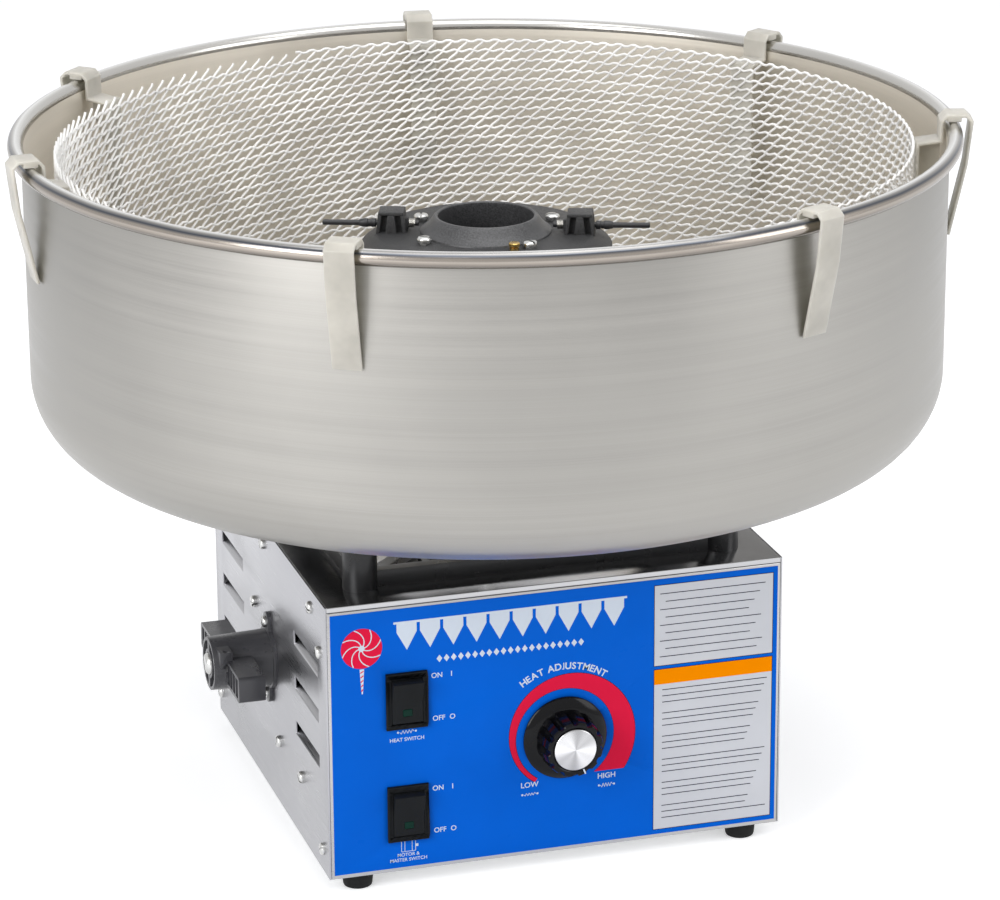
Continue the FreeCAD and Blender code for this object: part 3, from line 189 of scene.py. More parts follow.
def sheet_steel(name, colour, along, roughness=0.3):
    """Ground stainless sheet: long hair lines along one axis, over slow cloudy changes of gloss."""
    finish, tree, shader = start(name, colour, 1.0, roughness)
    stretch = [1.0, 1.0, 1.0]
    stretch[along] = 0.012
    lines = noise(tree, place(tree, stretch), 1400.0, 3.0, 0.7)
    cloud = noise(tree, place(tree), 14.0, 3.0, 0.5)
    both = sums(tree, "ADD", sums(tree, "MULTIPLY", lines, 0.6), sums(tree, "MULTIPLY", cloud, 0.4))
    link(tree, ramp(tree, both, roughness * 0.8, roughness * 1.35, 0.35, 0.65), shader, "Roughness")
    dark = tuple(c * 0.9 for c in colour)
    link(tree, ramp(tree, both, dark, colour, 0.3, 0.7), shader, "Base Color")
    bump(tree, shader, lines, 0.06, 0.0001)
    return finish


def spun_metal(name, colour, roughness, streak=0.14, metallic=1.0, uneven=0.14):
    """Metal turned on a lathe about Z: grooves that run round it, with soft streaks."""
    finish, tree, shader = start(name, colour, metallic, roughness)
    fine = 2200.0
    here = node(tree, "ShaderNodeTexCoord").outputs["Object"]
    across = node(tree, "ShaderNodeVectorMath", {0: here, 1: (1.0, 1.0, 0.0)},
                  operation="MULTIPLY").outputs[0]
    reach = node(tree, "ShaderNodeVectorMath", {0: across}, operation="LENGTH").outputs["Value"]
    way = node(tree, "ShaderNodeVectorMath", {0: across}, operation="NORMALIZE").outputs[0]
    along = sums(tree, "ADD", reach, node(tree, "ShaderNodeSeparateXYZ", {0: here}).outputs[2])
    turn = node(tree, "ShaderNodeVectorMath", {0: way, 1: (streak / 100, streak / 100, streak / 100)},
                operation="MULTIPLY").outputs[0]
    groove = node(tree, "ShaderNodeCombineXYZ", {2: along}).outputs[0]
    where = node(tree, "ShaderNodeVectorMath", {0: turn, 1: groove}, operation="ADD").outputs[0]
    lines = noise(tree, where, fine, 3.0, 0.7)
    broad = noise(tree, where, fine / 22, 3.0, 0.6)
    cloud = noise(tree, place(tree), 9.0, 2.0, 0.5)
    both = sums(tree, "ADD", sums(tree, "MULTIPLY", lines, 0.35), sums(tree, "MULTIPLY", broad, 0.4))
    both = sums(tree, "ADD", both, sums(tree, "MULTIPLY", cloud, 0.25))
    link(tree, ramp(tree, both, roughness * 0.75, roughness * 1.3, 0.35, 0.65), shader, "Roughness")
    dark = tuple(c * (1 - uneven) for c in colour)
    link(tree, ramp(tree, both, dark, colour, 0.35, 0.65), shader, "Base Color")
    bump(tree, shader, lines, 0.1, 0.0002)
    return finish


def rolled_metal_painted_reflections(name, stops, roughness, middle_r, middle_z):
    """Bright rolled bead with painted reflections: light and dark lines that run along it, each at its own
    share of a turn round the roll (0.25 underneath, 0.5 outermost, 0.75 on top), over faint grooves."""
    finish, tree, shader = start(name, stops[0][1], 1.0, roughness)
    here = node(tree, "ShaderNodeTexCoord").outputs["Object"]
    height = sums(tree, "SUBTRACT", node(tree, "ShaderNodeSeparateXYZ", {0: here}).outputs[2], middle_z)
    flat = node(tree, "ShaderNodeVectorMath", {0: here, 1: (1.0, 1.0, 0.0)}, operation="MULTIPLY").outputs[0]
    reach = node(tree, "ShaderNodeVectorMath", {0: flat}, operation="LENGTH").outputs["Value"]
    off_middle = sums(tree, "SUBTRACT", reach, middle_r)
    turn = sums(tree, "DIVIDE", sums(tree, "ARCTAN2", height, off_middle), math.tau)
    drift = sums(tree, "MULTIPLY", sums(tree, "SUBTRACT", noise(tree, place(tree), 7.0, 2.0), 0.5), 0.10)
    # Painted reflections: colour stops set by the share of a turn round the roll, drifting a little with
    # noise.
    made = node(tree, "ShaderNodeValToRGB", {"Fac": sums(tree, "ADD", sums(tree, "ADD", turn, 0.5), drift)})
    for at, colour in stops[1:-1]:
        made.color_ramp.elements.new(at).color = (*colour, 1)
    for element, (at, colour) in zip(made.color_ramp.elements, stops):
        element.position, element.color = at, (*colour, 1)
    link(tree, made.outputs["Color"], shader, "Base Color")
    lines = noise(tree, node(tree, "ShaderNodeCombineXYZ", {0: turn}).outputs[0], 90.0, 2.0)
    link(tree, ramp(tree, lines, roughness * 0.7, roughness * 1.4, 0.3, 0.7), shader, "Roughness")
    bump(tree, shader, lines, 0.05, 0.0001)
    return finish


def turned_end_painted_highlights(name, dark, light, roughness, centre):
    """Faced end of a turned part, seen along Y: fine rings, and painted highlights as bright wedges that meet
    at its middle.
    """
    finish, tree, shader = start(name, light, 1.0, roughness)
    here = node(tree, "ShaderNodeTexCoord").outputs["Object"]
    from_middle = node(tree, "ShaderNodeVectorMath", {0: here, 1: tuple(centre)},
                       operation="SUBTRACT").outputs[0]
    parts = node(tree, "ShaderNodeSeparateXYZ", {0: from_middle}).outputs
    turn = sums(tree, "ARCTAN2", parts[2], parts[0])
    squares = [sums(tree, "POWER", parts[axis], 2.0) for axis in (0, 2)]
    reach = sums(tree, "SQRT", sums(tree, "ADD", *squares))
    # Painted highlights: the colour runs from dark to light in wedges round the middle.
    highlight_wedge = sums(tree, "COSINE", sums(tree, "ADD", sums(tree, "MULTIPLY", turn, 2.0), 0.9))
    narrow_highlight = sums(tree, "COSINE", sums(tree, "ADD", sums(tree, "MULTIPLY", turn, 6.0), 0.4))
    both = sums(tree, "ADD", sums(tree, "MULTIPLY", highlight_wedge, 0.35), sums(tree, "MULTIPLY", narrow_highlight, 0.15))
    link(tree, ramp(tree, sums(tree, "ADD", both, 0.5), dark, light), shader, "Base Color")
    rings = noise(tree, node(tree, "ShaderNodeCombineXYZ", {0: reach}).outputs[0], 5200.0, 2.0)
    link(tree, ramp(tree, rings, roughness * 0.7, roughness * 1.4, 0.3, 0.7), shader, "Roughness")
    bump(tree, shader, rings, 0.4, 0.0001)
    return finish


def cast_black(name, colour, roughness, lumps, curl=0.0):
    """Rough casting under a dark coating, worn a little paler on its high spots."""
    finish, tree, shader = start(name, colour, 0.35, roughness)
    where = place(tree)
    skin = noise(tree, where, lumps, 5.0, 0.65, curl)
    link(tree, ramp(tree, skin, roughness - 0.12, roughness + 0.12, 0.35, 0.65), shader, "Roughness")
    dark = tuple(c * 0.6 for c in colour)
    light = tuple(c * 1.7 for c in colour)
    link(tree, ramp(tree, skin, dark, light, 0.35, 0.7), shader, "Base Color")
    bump(tree, shader, skin, 0.9 if curl else 0.3, 0.0012 if curl else 0.0004)
    return finish


STEEL_SIDE = sheet_steel("ground_steel", (0.44, 0.44, 0.46), 1, 0.30)
STEEL_FRONT = sheet_steel("ground_steel_front", (0.48, 0.475, 0.475), 0, 0.28)
STEEL_DECK = sheet_steel("bright_deck_steel", (0.46, 0.46, 0.47), 0, 0.16)
BOWL_METAL = spun_metal("spun_bowl_metal", (0.375, 0.364, 0.342), 0.40, streak=0.05, uneven=0.2)
# Inner wall: the same spun metal as the outside, painted about twice as light and less metallic, as painted
# light inside the bowl.
BOWL_INSIDE_PAINTED_LIGHT = spun_metal("spun_bowl_inside_painted_light", (0.78, 0.73, 0.645), 0.42, metallic=0.7)
BOWL_FLOOR = spun_metal("spun_bowl_floor", (0.40, 0.388, 0.365), 0.45)
# Painted reflections on the bead: a bright highlight band on top and a dark reflected line below it.
PAINTED_BEAD_REFLECTIONS = (
    (0.0, (0.44, 0.43, 0.41)), (0.28, (0.30, 0.28, 0.26)), (0.42, (0.20, 0.18, 0.16)),
    (0.50, (0.38, 0.34, 0.30)), (0.56, (0.30, 0.27, 0.24)), (0.61, (0.06, 0.07, 0.09)),
    (0.67, (0.30, 0.29, 0.28)), (0.74, (0.78, 0.78, 0.77)), (0.84, (0.52, 0.51, 0.49)),
    (1.0, (0.44, 0.43, 0.41)))
BEAD_METAL_PAINTED_REFLECTIONS = rolled_metal_painted_reflections("rolled_bead_painted_reflections", PAINTED_BEAD_REFLECTIONS, 0.2, BEAD_MID_R / 1000, BEAD_Z / 1000)
NET_WHITE = plain_plastic("white_net_plastic", (0.90, 0.885, 0.86), 0.38, 0.1, Specular_IOR_Level=0.3)
CLIP_WHITE = plain_plastic("milky_clip_plastic", (0.49, 0.465, 0.41), 0.36, 0.12, 240.0,
                           Subsurface_Weight=0.5, Subsurface_Scale=0.012,
                           Subsurface_Radius=(1.0, 1.0, 0.9), Specular_IOR_Level=0.3)
HEAD_BLACK = cast_black("coated_casting", (0.045, 0.045, 0.046), 0.5, 300.0, 3.0)
HEAD_SMOOTH = cast_black("machined_coated_casting", (0.065, 0.065, 0.067), 0.42, 900.0)
ROD_BLACK = plain_plastic("black_oxide", (0.02, 0.02, 0.022), 0.35)
CLEAT_BLACK = plain_plastic("moulded_cleat_black", (0.045, 0.045, 0.05), 0.3, 0.15, 500.0,
                            Specular_IOR_Level=0.4)
KNOB_BLACK = plain_plastic("gloss_black_knob", (0.004, 0.004, 0.005), 0.12, 0.04, 500.0,
                           Specular_IOR_Level=0.16)
MATT_BLACK = plain_plastic("grained_black_moulding", (0.008, 0.009, 0.010), 0.42, 0.25, 1600.0,
                           Specular_IOR_Level=0.1)
SUPPORT_BLACK = plain_plastic("support_black", (0.010, 0.010, 0.011), 0.3, 0.2, 700.0,
                              Specular_IOR_Level=0.35)
RUBBER = plain_plastic("black_rubber", (0.012, 0.012, 0.012), 0.68, 0.35, 1200.0, Specular_IOR_Level=0.2)
SCREW_STEEL = plain_metal("plated_screw_steel", (0.60, 0.60, 0.59), 0.22)
SPRING_STEEL = plain_metal("spring_steel", (0.50, 0.49, 0.46), 0.25)
ZINC = plain_metal("zinc_plate", (0.55, 0.56, 0.57), 0.34, scale=60.0)
BRASS = plain_metal("turned_brass", (0.62, 0.42, 0.14), 0.24)
IRON = plain_metal("stacked_iron", (0.30, 0.28, 0.26), 0.45, (1, 1, 14.0), 200.0, 0.3)
MOTOR_GREY = plain_plastic("motor_enamel", (0.12, 0.125, 0.135), 0.35, 0.25, 300.0)
CARBON = plain_plastic("pressed_carbon", (0.02, 0.02, 0.02), 0.55, 0.3)
INSULATOR = plain_plastic("brown_insulator", (0.12, 0.05, 0.02), 0.45, 0.2)
ELEMENT = plain_metal("heat_toned_ribbon", (0.36, 0.32, 0.29), 0.4)
LENS_GREEN = plain_plastic("dark_green_lens", (0.0005, 0.022, 0.014), 0.15, 0.03, Specular_IOR_Level=0.1)
# Knob cap with painted highlights: bright wedges round its middle.
KNOB_CAP_PAINTED_HIGHLIGHTS = turned_end_painted_highlights("turned_knob_cap_painted_highlights", (0.34, 0.34, 0.35), (0.80, 0.80, 0.81), 0.26, mm(KNOB_X, 0, KNOB_Z))
FILM = {"grain": 0.05, "mottle": 0.15, "Specular_IOR_Level": 0.05}
BLUE_FILM = plain_plastic("blue_printed_film", (0.0, 0.108, 0.58), 0.33, grain_scale=260.0, **FILM)
PALE_PRINT = plain_plastic("pale_print", (0.60, 0.66, 0.74), 0.4, **FILM)
RED_PRINT = plain_plastic("red_print", (0.70, 0.010, 0.050), 0.38, **FILM)
DARK_PRINT = plain_plastic("dark_print", (0.012, 0.015, 0.03), 0.4, **FILM)
LABEL_SILVER = plain_plastic("silver_label", (0.575, 0.585, 0.615), 0.36, **FILM)
ORANGE_PRINT = plain_plastic("orange_print", (0.88, 0.25, 0.0), 0.5, **{**FILM, "Specular_IOR_Level": 0.0})


# ---------------------------------------------------------------- making pieces
def finish_piece(name, shape, finish, body, replaced=(), crease=35.0):
    """Turns a bmesh into a piece of that body. Edges sharper than crease degrees stay crisp."""
    bmesh.ops.remove_doubles(shape, verts=shape.verts, dist=1e-6)
    mesh = bpy.data.meshes.new(name)
    shape.to_mesh(mesh)
    shape.free()
    mesh.polygons.foreach_set("use_smooth", [True] * len(mesh.polygons))
    mesh.set_sharp_from_angle(angle=math.radians(crease))
    piece = bpy.data.objects.new(name, mesh)
    bpy.context.scene.collection.objects.link(piece)
    for coat in finish if isinstance(finish, (list, tuple)) else [finish]:
        mesh.materials.append(coat)
    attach(piece, body)
    if replaced:
        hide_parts(*replaced)
    return piece


def shape_of(curve):
    """Bmesh of a curve or of text."""
    holder = bpy.data.objects.new(curve.name, curve)
    mesh = bpy.data.meshes.new_from_object(holder)
    bpy.data.objects.remove(holder)
    shape = bmesh.new()
    shape.from_mesh(mesh)
    bpy.data.meshes.remove(mesh)
    return shape


def cube(shape, low, high):
    """Box between two corners, in mm."""
    low, high = mm(*low), mm(*high)
    size = high - low
    place_at = Matrix.Translation((low + high) / 2) @ Matrix.Diagonal((*size, 1))
    return bmesh.ops.create_cube(shape, size=1.0, matrix=place_at)["verts"]


def once(items):
    """Each item once, in the order in which it first comes."""
    return list(dict.fromkeys(items))


def aim(base, out):
    """Matrix that takes +Z at the origin to out at base (mm)."""
    return Matrix.Translation(mm(*base)) @ out.to_track_quat("Z", "Y").to_matrix().to_4x4()


def drum(shape, base, out, radius, length, segments):
    """Bar of that many sides from base along out, in mm."""
    middle = aim(base, out) @ Matrix.Translation(mm(0, 0, length / 2))
    return bmesh.ops.create_cone(shape, cap_ends=True, segments=segments, radius1=radius / 1000,
                                 radius2=radius / 1000, depth=length / 1000, matrix=middle)["verts"]


def arc(mid_a, mid_b, radius, begin, end, steps):
    """Points round an arc in a profile's own plane."""
    turns = [math.radians(begin + (end - begin) * i / steps) for i in range(steps + 1)]
    return [(mid_a + radius * math.cos(t), mid_b + radius * math.sin(t)) for t in turns]


def spun(shape, profile, steps=96, closed=True, matrix=None):
    """Profile of (radius, height) in mm, turned once round Z and then set in place by matrix."""
    verts = [shape.verts.new(mm(r, 0, h)) for r, h in profile]
    pairs = list(zip(verts, verts[1:]))
    if closed:
        pairs.append((verts[-1], verts[0]))
    edges = [shape.edges.new(pair) for pair in pairs]
    bmesh.ops.spin(shape, geom=verts + edges, cent=(0, 0, 0), axis=(0, 0, 1), dvec=(0, 0, 0),
                   angle=math.tau, steps=steps, use_merge=True, use_normal_flip=False)
    faces = grown = once(f for v in verts for f in v.link_faces)
    while grown:
        known = set(faces)
        grown = once(g for f in grown for e in f.edges for g in e.link_faces if g not in known)
        faces = faces + grown
    ring = once(v for f in faces for v in f.verts)
    bmesh.ops.remove_doubles(shape, verts=ring, dist=1e-7)
    faces = [f for f in faces if f.is_valid]
    bmesh.ops.recalc_face_normals(shape, faces=faces)
    ring = once(v for f in faces for v in f.verts)
    if matrix:
        bmesh.ops.transform(shape, matrix=matrix, verts=ring)
    return ring


def softened(node_name, finish, width=0.5, segments=2):
    """Copy of a CAD node's mesh with its sharp edges rounded by width mm; it stands for the node."""
    sharp_angle, crease = math.radians(28.0), 40.0
    source = frame["nodes"][node_name]
    shape = bmesh.new()
    shape.from_mesh(source.data)
    bmesh.ops.remove_doubles(shape, verts=shape.verts, dist=2e-6)
    bmesh.ops.dissolve_limit(shape, angle_limit=math.radians(0.8), verts=shape.verts, edges=shape.edges,
                             delimit={"NORMAL"})
    sharp = [e for e in shape.edges if len(e.link_faces) == 2 and e.calc_face_angle(0) > sharp_angle]
    bmesh.ops.bevel(shape, geom=sharp, offset=width / 1000, offset_type="OFFSET", affect="EDGES",
                    segments=segments, profile=0.5, clamp_overlap=True, material=-1)
    return finish_piece("soft_" + node_name, shape, finish, body_of[node_name], [node_name],
                        crease)


def coat(node_name, finish):
    """New finish on a CAD node that keeps its shape."""
    target = frame["nodes"][node_name]
    if not target.material_slots:
        target.data.materials.append(finish)
    for holder in target.material_slots:
        holder.material = finish


body_of = {name: body for body, names in frame["record"]["behaviour"]["bodies"].items() for name in names}


# ---------------------------------------------------------------- screws
def pan_head(shape, base, out, radius=4.4, height=3.2, slot_w=1.2, slot_turn=0.0):
    """Slotted pan head seated on base; its slot lies across slot_turn degrees."""
    dome = arc(radius - height * 0.62, height * 0.38, height * 0.62, 0, 80, 5)
    profile = [(radius * 0.995, 0)] + dome + [(0, height)]
    ring = spun(shape, profile, 28, closed=False)
    depth = height * 0.45
    faces = once(f for v in ring for f in v.link_faces)
    edges = once(e for f in faces for e in f.edges)
    geom = ring + edges + faces
    for offset in (-slot_w / 2 - 0.06, -slot_w / 2, slot_w / 2, slot_w / 2 + 0.06):
        cut = bmesh.ops.bisect_plane(shape, geom=geom, dist=1e-8, plane_co=mm(offset, 0, 0), plane_no=X)
        geom = cut["geom"]
    verts = [g for g in geom if isinstance(g, bmesh.types.BMVert)]
    for v in verts:
        if abs(v.co.x) < (slot_w / 2 + 0.03) / 1000 and v.co.z > (height - depth) / 1000:
            v.co.z = (height - depth) / 1000
    turn = aim(base, out) @ Matrix.Rotation(math.radians(slot_turn), 4, "Z")
    bmesh.ops.transform(shape, matrix=turn, verts=verts)


# ---------------------------------------------------------------- bowl, net and clips
def make_bowl():
    corner = (BOWL_WALL_R - BOWL_CORNER_R, BOWL_Z + BOWL_CORNER_R)
    lip = BOWL_HOLE_R - BOWL_T
    outside = [(lip, BOWL_Z - BOWL_LIP), (BOWL_HOLE_R, BOWL_Z - BOWL_LIP), (BOWL_HOLE_R, BOWL_Z - 1.2),
               (BOWL_HOLE_R + 1.2, BOWL_Z)]
    outside += arc(*corner, BOWL_CORNER_R, -90, 0, 14)
    outside += [(BOWL_WALL_R, BEAD_Z - 100), (BOWL_WALL_R, BEAD_Z - 6)]
    inside = [(BOWL_WALL_R - BOWL_T, BEAD_Z), (BOWL_WALL_R - BOWL_T, BEAD_Z - 100)]
    inside += arc(*corner, BOWL_CORNER_R - BOWL_T, 0, -90, 14) + [(lip, BOWL_Z + BOWL_T)]
    shape = bmesh.new()
    spun(shape, outside + inside, 192)
    for f in shape.faces:
        inward = -f.normal.dot(f.calc_center_median() * Vector((1, 1, 0)))
        f.material_index = 2 if f.normal.z > 0.9 else 1 if inward > 0.01 else 0
    finish_piece("spun_bowl", shape, (BOWL_METAL, BOWL_INSIDE_PAINTED_LIGHT, BOWL_FLOOR), "bowl_set",
                 ["bowl", "bowl_floor", "bowl_neck"])
    bead = bmesh.new()
    spun(bead, arc(BEAD_MID_R, BEAD_Z, BEAD_R, -180, 160, 17), 192)
    finish_piece("rolled_bead", bead, BEAD_METAL_PAINTED_REFLECTIONS, "bowl_set")


def net_radius(turn):
    """The net stands a little out of round."""
    return NET_R - 1.0 + 1.3 * math.sin(2 * turn + 0.6) + 0.7 * math.sin(5 * turn)


def net_point(column, height):
    turn = math.tau * column / NET_COLUMNS
    return mm(net_radius(turn) * math.cos(turn), net_radius(turn) * math.sin(turn), height)


def round_wire(paths, radius, resolution):
    """Wires of round section along (points, closed) paths, with their open ends capped."""
    curve = bpy.data.curves.new("wire", "CURVE")
    curve.dimensions = "3D"
    curve.bevel_depth = radius / 1000
    curve.bevel_resolution = resolution
    curve.use_fill_caps = True
    for points, closed in paths:
        spline = curve.splines.new("POLY")
        spline.points.add(len(points) - 1)
        for place_of, point in zip(spline.points, points):
            place_of.co = (*point, 1)
        spline.use_cyclic_u = closed
    return shape_of(curve)


def make_net():
    """Extruded netting: wavy strands round the band, crossed by strands that climb aslant."""
    pitch = (NET_TOP - NET_LOW - 2 * NET_STRAND_R) / (NET_ROWS - 1)
    wave = NET_WAVE * pitch
    level = [NET_LOW + NET_STRAND_R + row * pitch for row in range(NET_ROWS)]
    rounds, risers = [], []
    for row, height in enumerate(level):
        closed = row < NET_ROWS - 1
        first = 0 if closed else round(NET_RING_START * NET_COLUMNS * NET_STEPS)
        count = round((1 if closed else NET_RING_SHARE) * NET_COLUMNS * NET_STEPS)
        points = []
        for i in range(first, first + count):
            sway = math.sin(math.tau * (i / NET_STEPS - row * NET_LEAN))
            points.append(net_point(i / NET_STEPS, height + wave * sway * (1 if row else 0)))
        rounds.append((points, closed))
    for column in range(NET_COLUMNS):
        points = []
        for i in range((NET_ROWS - 1) * NET_STEPS + 1):
            rise = i / NET_STEPS
            sway = NET_SWAY * math.sin(math.tau * rise)
            points.append(net_point(column + rise * NET_LEAN + sway, level[0] + rise * pitch))
        risers.append((points, False))
    finish_piece("candy_net", round_wire(rounds, NET_STRAND_R, 1), NET_WHITE, "bowl_set", ["net"],
                 75.0)
    finish_piece("candy_net_risers", round_wire(risers, NET_STRAND_R, 1), NET_WHITE, "bowl_set",
                 crease=75.0)


def make_clips():
    for name in [n for n in frame["nodes"] if n.startswith("clip_")]:
        softened(name, CLIP_WHITE, 0.6, 2)


# ---------------------------------------------------------------- spinning head
def head_turn(side):
    return Matrix.Rotation(HEAD_TURN + (0 if side > 0 else math.pi), 4, "Z")


def add_tower(shape, side):
    """Slotted tower that carries one rod, flared towards its foot."""
    made = []
    low, high = PLATE_Z - 1.0, PLATE_Z + TOWER_H
    half, deep = TOWER_L / 2, TOWER_W / 2
    for a, b in ((-half, -half + 2.6), (-2.2, 2.2), (half - 2.6, half)):
        made += cube(shape, (TOWER_AT + a, -deep, low), (TOWER_AT + b, deep, high - 2.0))
    made += cube(shape, (TOWER_AT - half, -deep, high - 2.6), (TOWER_AT + half, deep, high))
    made += cube(shape, (TOWER_AT - half, -deep + 4.5, low), (TOWER_AT + half, deep - 4.5, high - 2.0))
    for v in made:
        share = (high / 1000 - v.co.z) / (high - low) * 1000
        v.co.x += math.copysign(share * TOWER_FLARE / 1000, v.co.x - TOWER_AT / 1000)
    made += cube(shape, (TOWER_AT - half - 3.0, -3.2, PLATE_Z + 1),
                 (TOWER_AT - half + 1, 3.2, PLATE_Z + 9.6))
    sharp = once(e for v in made for e in v.link_edges)
    bevelled = bmesh.ops.bevel(shape, geom=sharp, offset=0.0007, affect="EDGES", segments=2, profile=0.5,
                               material=-1, clamp_overlap=True)
    made = once([v for v in made if v.is_valid] + list(bevelled["verts"]))
    made = once(v for w in made for f in w.link_faces for v in f.verts)
    bmesh.ops.transform(shape, matrix=head_turn(side), verts=made)


def make_cover():
    """Cone plate, waisted sugar collar and the two slotted towers that carry the rods."""
    shape = bmesh.new()
    profile = [(38.4, COVER_Z0), (87.5, COVER_Z0), (88.5, COVER_Z0 + 0.8), (88.4, COVER_Z0 + 2.6)]
    profile += [(87.2, COVER_Z0 + 4.2), (76.6, PLATE_Z - 0.4), (75.2, PLATE_Z), (47.4, PLATE_Z)]
    profile += [(46.4, PLATE_Z + 0.3), (46.0, PLATE_Z + 1.4), (44.6, PLATE_Z + 2.3)]
    profile += [(42.0, PLATE_Z + 4.3), (39.6, PLATE_Z + 7.0)]
    profile += [(37.4, PLATE_Z + 10.2), (36.4, PLATE_Z + 11.4), (35.6, HEAD_TOP_Z), (34.4, HEAD_TOP_Z)]
    profile += [(33.7, HEAD_TOP_Z - 0.7), (33.6, HEAD_TOP_Z - 4.0)]
    ring = spun(shape, profile, 144)
    for v in ring:
        reach = v.co.to_2d().length * 1000
        turn = math.atan2(v.co.y, v.co.x)
        if 48 < reach < 86:
            v.co.z += 0.00025 * math.sin(reach * 1.9 + 3 * math.sin(turn * 3))
    for f in shape.faces:
        f.material_index = 1 if f.calc_center_median().to_2d().length < COLLAR_R / 1000 else 0
    for side in (1, -1):
        add_tower(shape, side)
    finish_piece("slotted_cover", shape, (HEAD_BLACK, HEAD_SMOOTH), "spinner", ["head_cover"],
                 32.0)


def make_rods():
    for side, node_name in ((1, "rod_right"), (-1, "rod_left")):
        shape = bmesh.new()
        along = aim((0, 0, ROD_Z), X)
        spun(shape, [(0, 46.9), (1.6, 46.9), (2.0, 47.3), (2.0, 77.1), (2.8, 77.1), (3.1, 77.5), (3.1, 80.2),
                     (2.6, 80.6), (2.6, 82.6), (3.1, 83.0), (3.1, 86.0), (2.6, 88.5), (2.0, 89.1),
                     (2.0, 114.1), (1.4, 114.8), (0, 114.8)], 24, closed=False, matrix=along)
        bmesh.ops.transform(shape, matrix=head_turn(side), verts=shape.verts)
        finish_piece("guide_" + node_name, shape, ROD_BLACK, "spinner", [node_name])


def make_springs():
    turns, steps, coil_r, wire_r, inner_end, length = 5, 16, 2.75, 0.5, 49.8, 4.6
    coils = []
    for side in (1, -1):
        points = []
        for i in range(turns * steps + 1):
            turn = math.tau * i / steps
            x = inner_end + length * i / (turns * steps)
            point = mm(x, coil_r * math.cos(turn), ROD_Z + coil_r * math.sin(turn))
            points.append(head_turn(side) @ point)
        coils.append((points, False))
    finish_piece("coil_springs", round_wire(coils, wire_r, 2), SPRING_STEEL, "spinner", ["rod_springs"],
                 80.0)


def around_head(degrees):
    """Place of a screw on the cone plate, degrees counted from the front towards the right."""
    turn = math.radians(degrees)
    return (HEAD_SCREW_R * math.sin(turn), -HEAD_SCREW_R * math.cos(turn), PLATE_Z)


def make_head_fasteners():
    shape = bmesh.new()
    for i, degrees in enumerate((17.9, 102.0, 222.0, 290.0)):
        base = around_head(degrees)
        drum(shape, base, Z, 4.2, 2.6, 6)
        pan_head(shape, (base[0], base[1], base[2] + 1.6), Z, 5.3, 3.6, 1.5, i * 71 + 20)
    finish_piece("head_fixings", shape, SCREW_STEEL, "spinner", ["head_screws"])
    shape = bmesh.new()
    base = around_head(4.6)
    spun(shape, [(3.3, 0), (3.3, 2.2), (2.5, 2.6), (2.5, 3.0), (3.9, 3.3), (3.9, 5.0), (3.5, 5.5), (0, 5.6)],
         24, closed=False, matrix=Matrix.Translation(mm(*base)))
    finish_piece("brass_stud", shape, BRASS, "spinner", ["head_terminal"])


# ---------------------------------------------------------------- dial knob
def make_knob():
    out = aim((KNOB_X, PRINT_Y - 0.8, KNOB_Z), -Y)
    shape = bmesh.new()
    spun(shape, [(0, 0), (29.2, 0), (30.0, 0.6), (30.0, 1.8), (29.2, 2.7), (24.0, 4.6), (20.0, 5.2),
                 (0, 5.2)], 96, closed=False, matrix=out)
    flutes, columns = 12, 144
    levels = ((4.6, 21.9, 1.0), (9.0, 21.6, 1.0), (16.0, 21.1, 1.0), (22.6, 20.5, 1.0), (24.4, 19.8, 0.7),
              (25.0, 18.6, 0.3), (25.0, 16.4, 0.0), (24.2, 15.3, 0.0), (23.6, 15.2, 0.0))
    ring = bmesh.ops.create_circle(shape, segments=columns, radius=1.0)["verts"]
    edges = once(e for v in ring for e in v.link_edges)
    wall = []
    for step, (height, radius, carve) in enumerate(levels):
        if step:
            grown = bmesh.ops.extrude_edge_only(shape, edges=edges)["geom"]
            ring = [g for g in grown if isinstance(g, bmesh.types.BMVert)]
            edges = [g for g in grown if isinstance(g, bmesh.types.BMEdge)
                     and all(v in ring for v in g.verts)]
        for v in ring:
            turn = math.atan2(v.co.y, v.co.x)
            scoop = max(0.0, math.cos(turn * flutes)) ** 0.7 * 2.6 * carve
            reach = (radius - scoop) / 1000
            v.co = Vector((reach * math.cos(turn), reach * math.sin(turn), height / 1000))
        wall += ring
    bmesh.ops.transform(shape, matrix=out, verts=wall)
    bmesh.ops.recalc_face_normals(shape, faces=once(f for v in wall for f in v.link_faces))
    finish_piece("dial_grip", shape, KNOB_BLACK, "heat_knob", ["knob_body"], 30.0)
    cap = bmesh.new()
    spun(cap, [(0, 23.2), (15.0, 23.2), (15.0, 24.9), (14.7, 25.3), (14.2, 25.5), (0, 25.5)],
         96, closed=False, matrix=out)
    finish_piece("dial_cap", cap, KNOB_CAP_PAINTED_HIGHLIGHTS, "heat_knob", ["knob_cap"])
    mark = bmesh.new()
    verts = cube(mark, (-0.6, 22.4, 2.5), (0.6, 29.4, 5.3))
    for v in verts:
        v.co.z -= (v.co.y * 1000 - 22.4) * 0.00036
    turn = Matrix.Rotation(math.radians(180 + 21), 4, "Z")
    verts += cube(mark, (-0.5, 15.9, 24.8), (0.5, 19.6, 25.2))
    bmesh.ops.transform(mark, matrix=out @ turn, verts=verts)
    finish_piece("dial_pointer", mark, PALE_PRINT, "heat_knob")


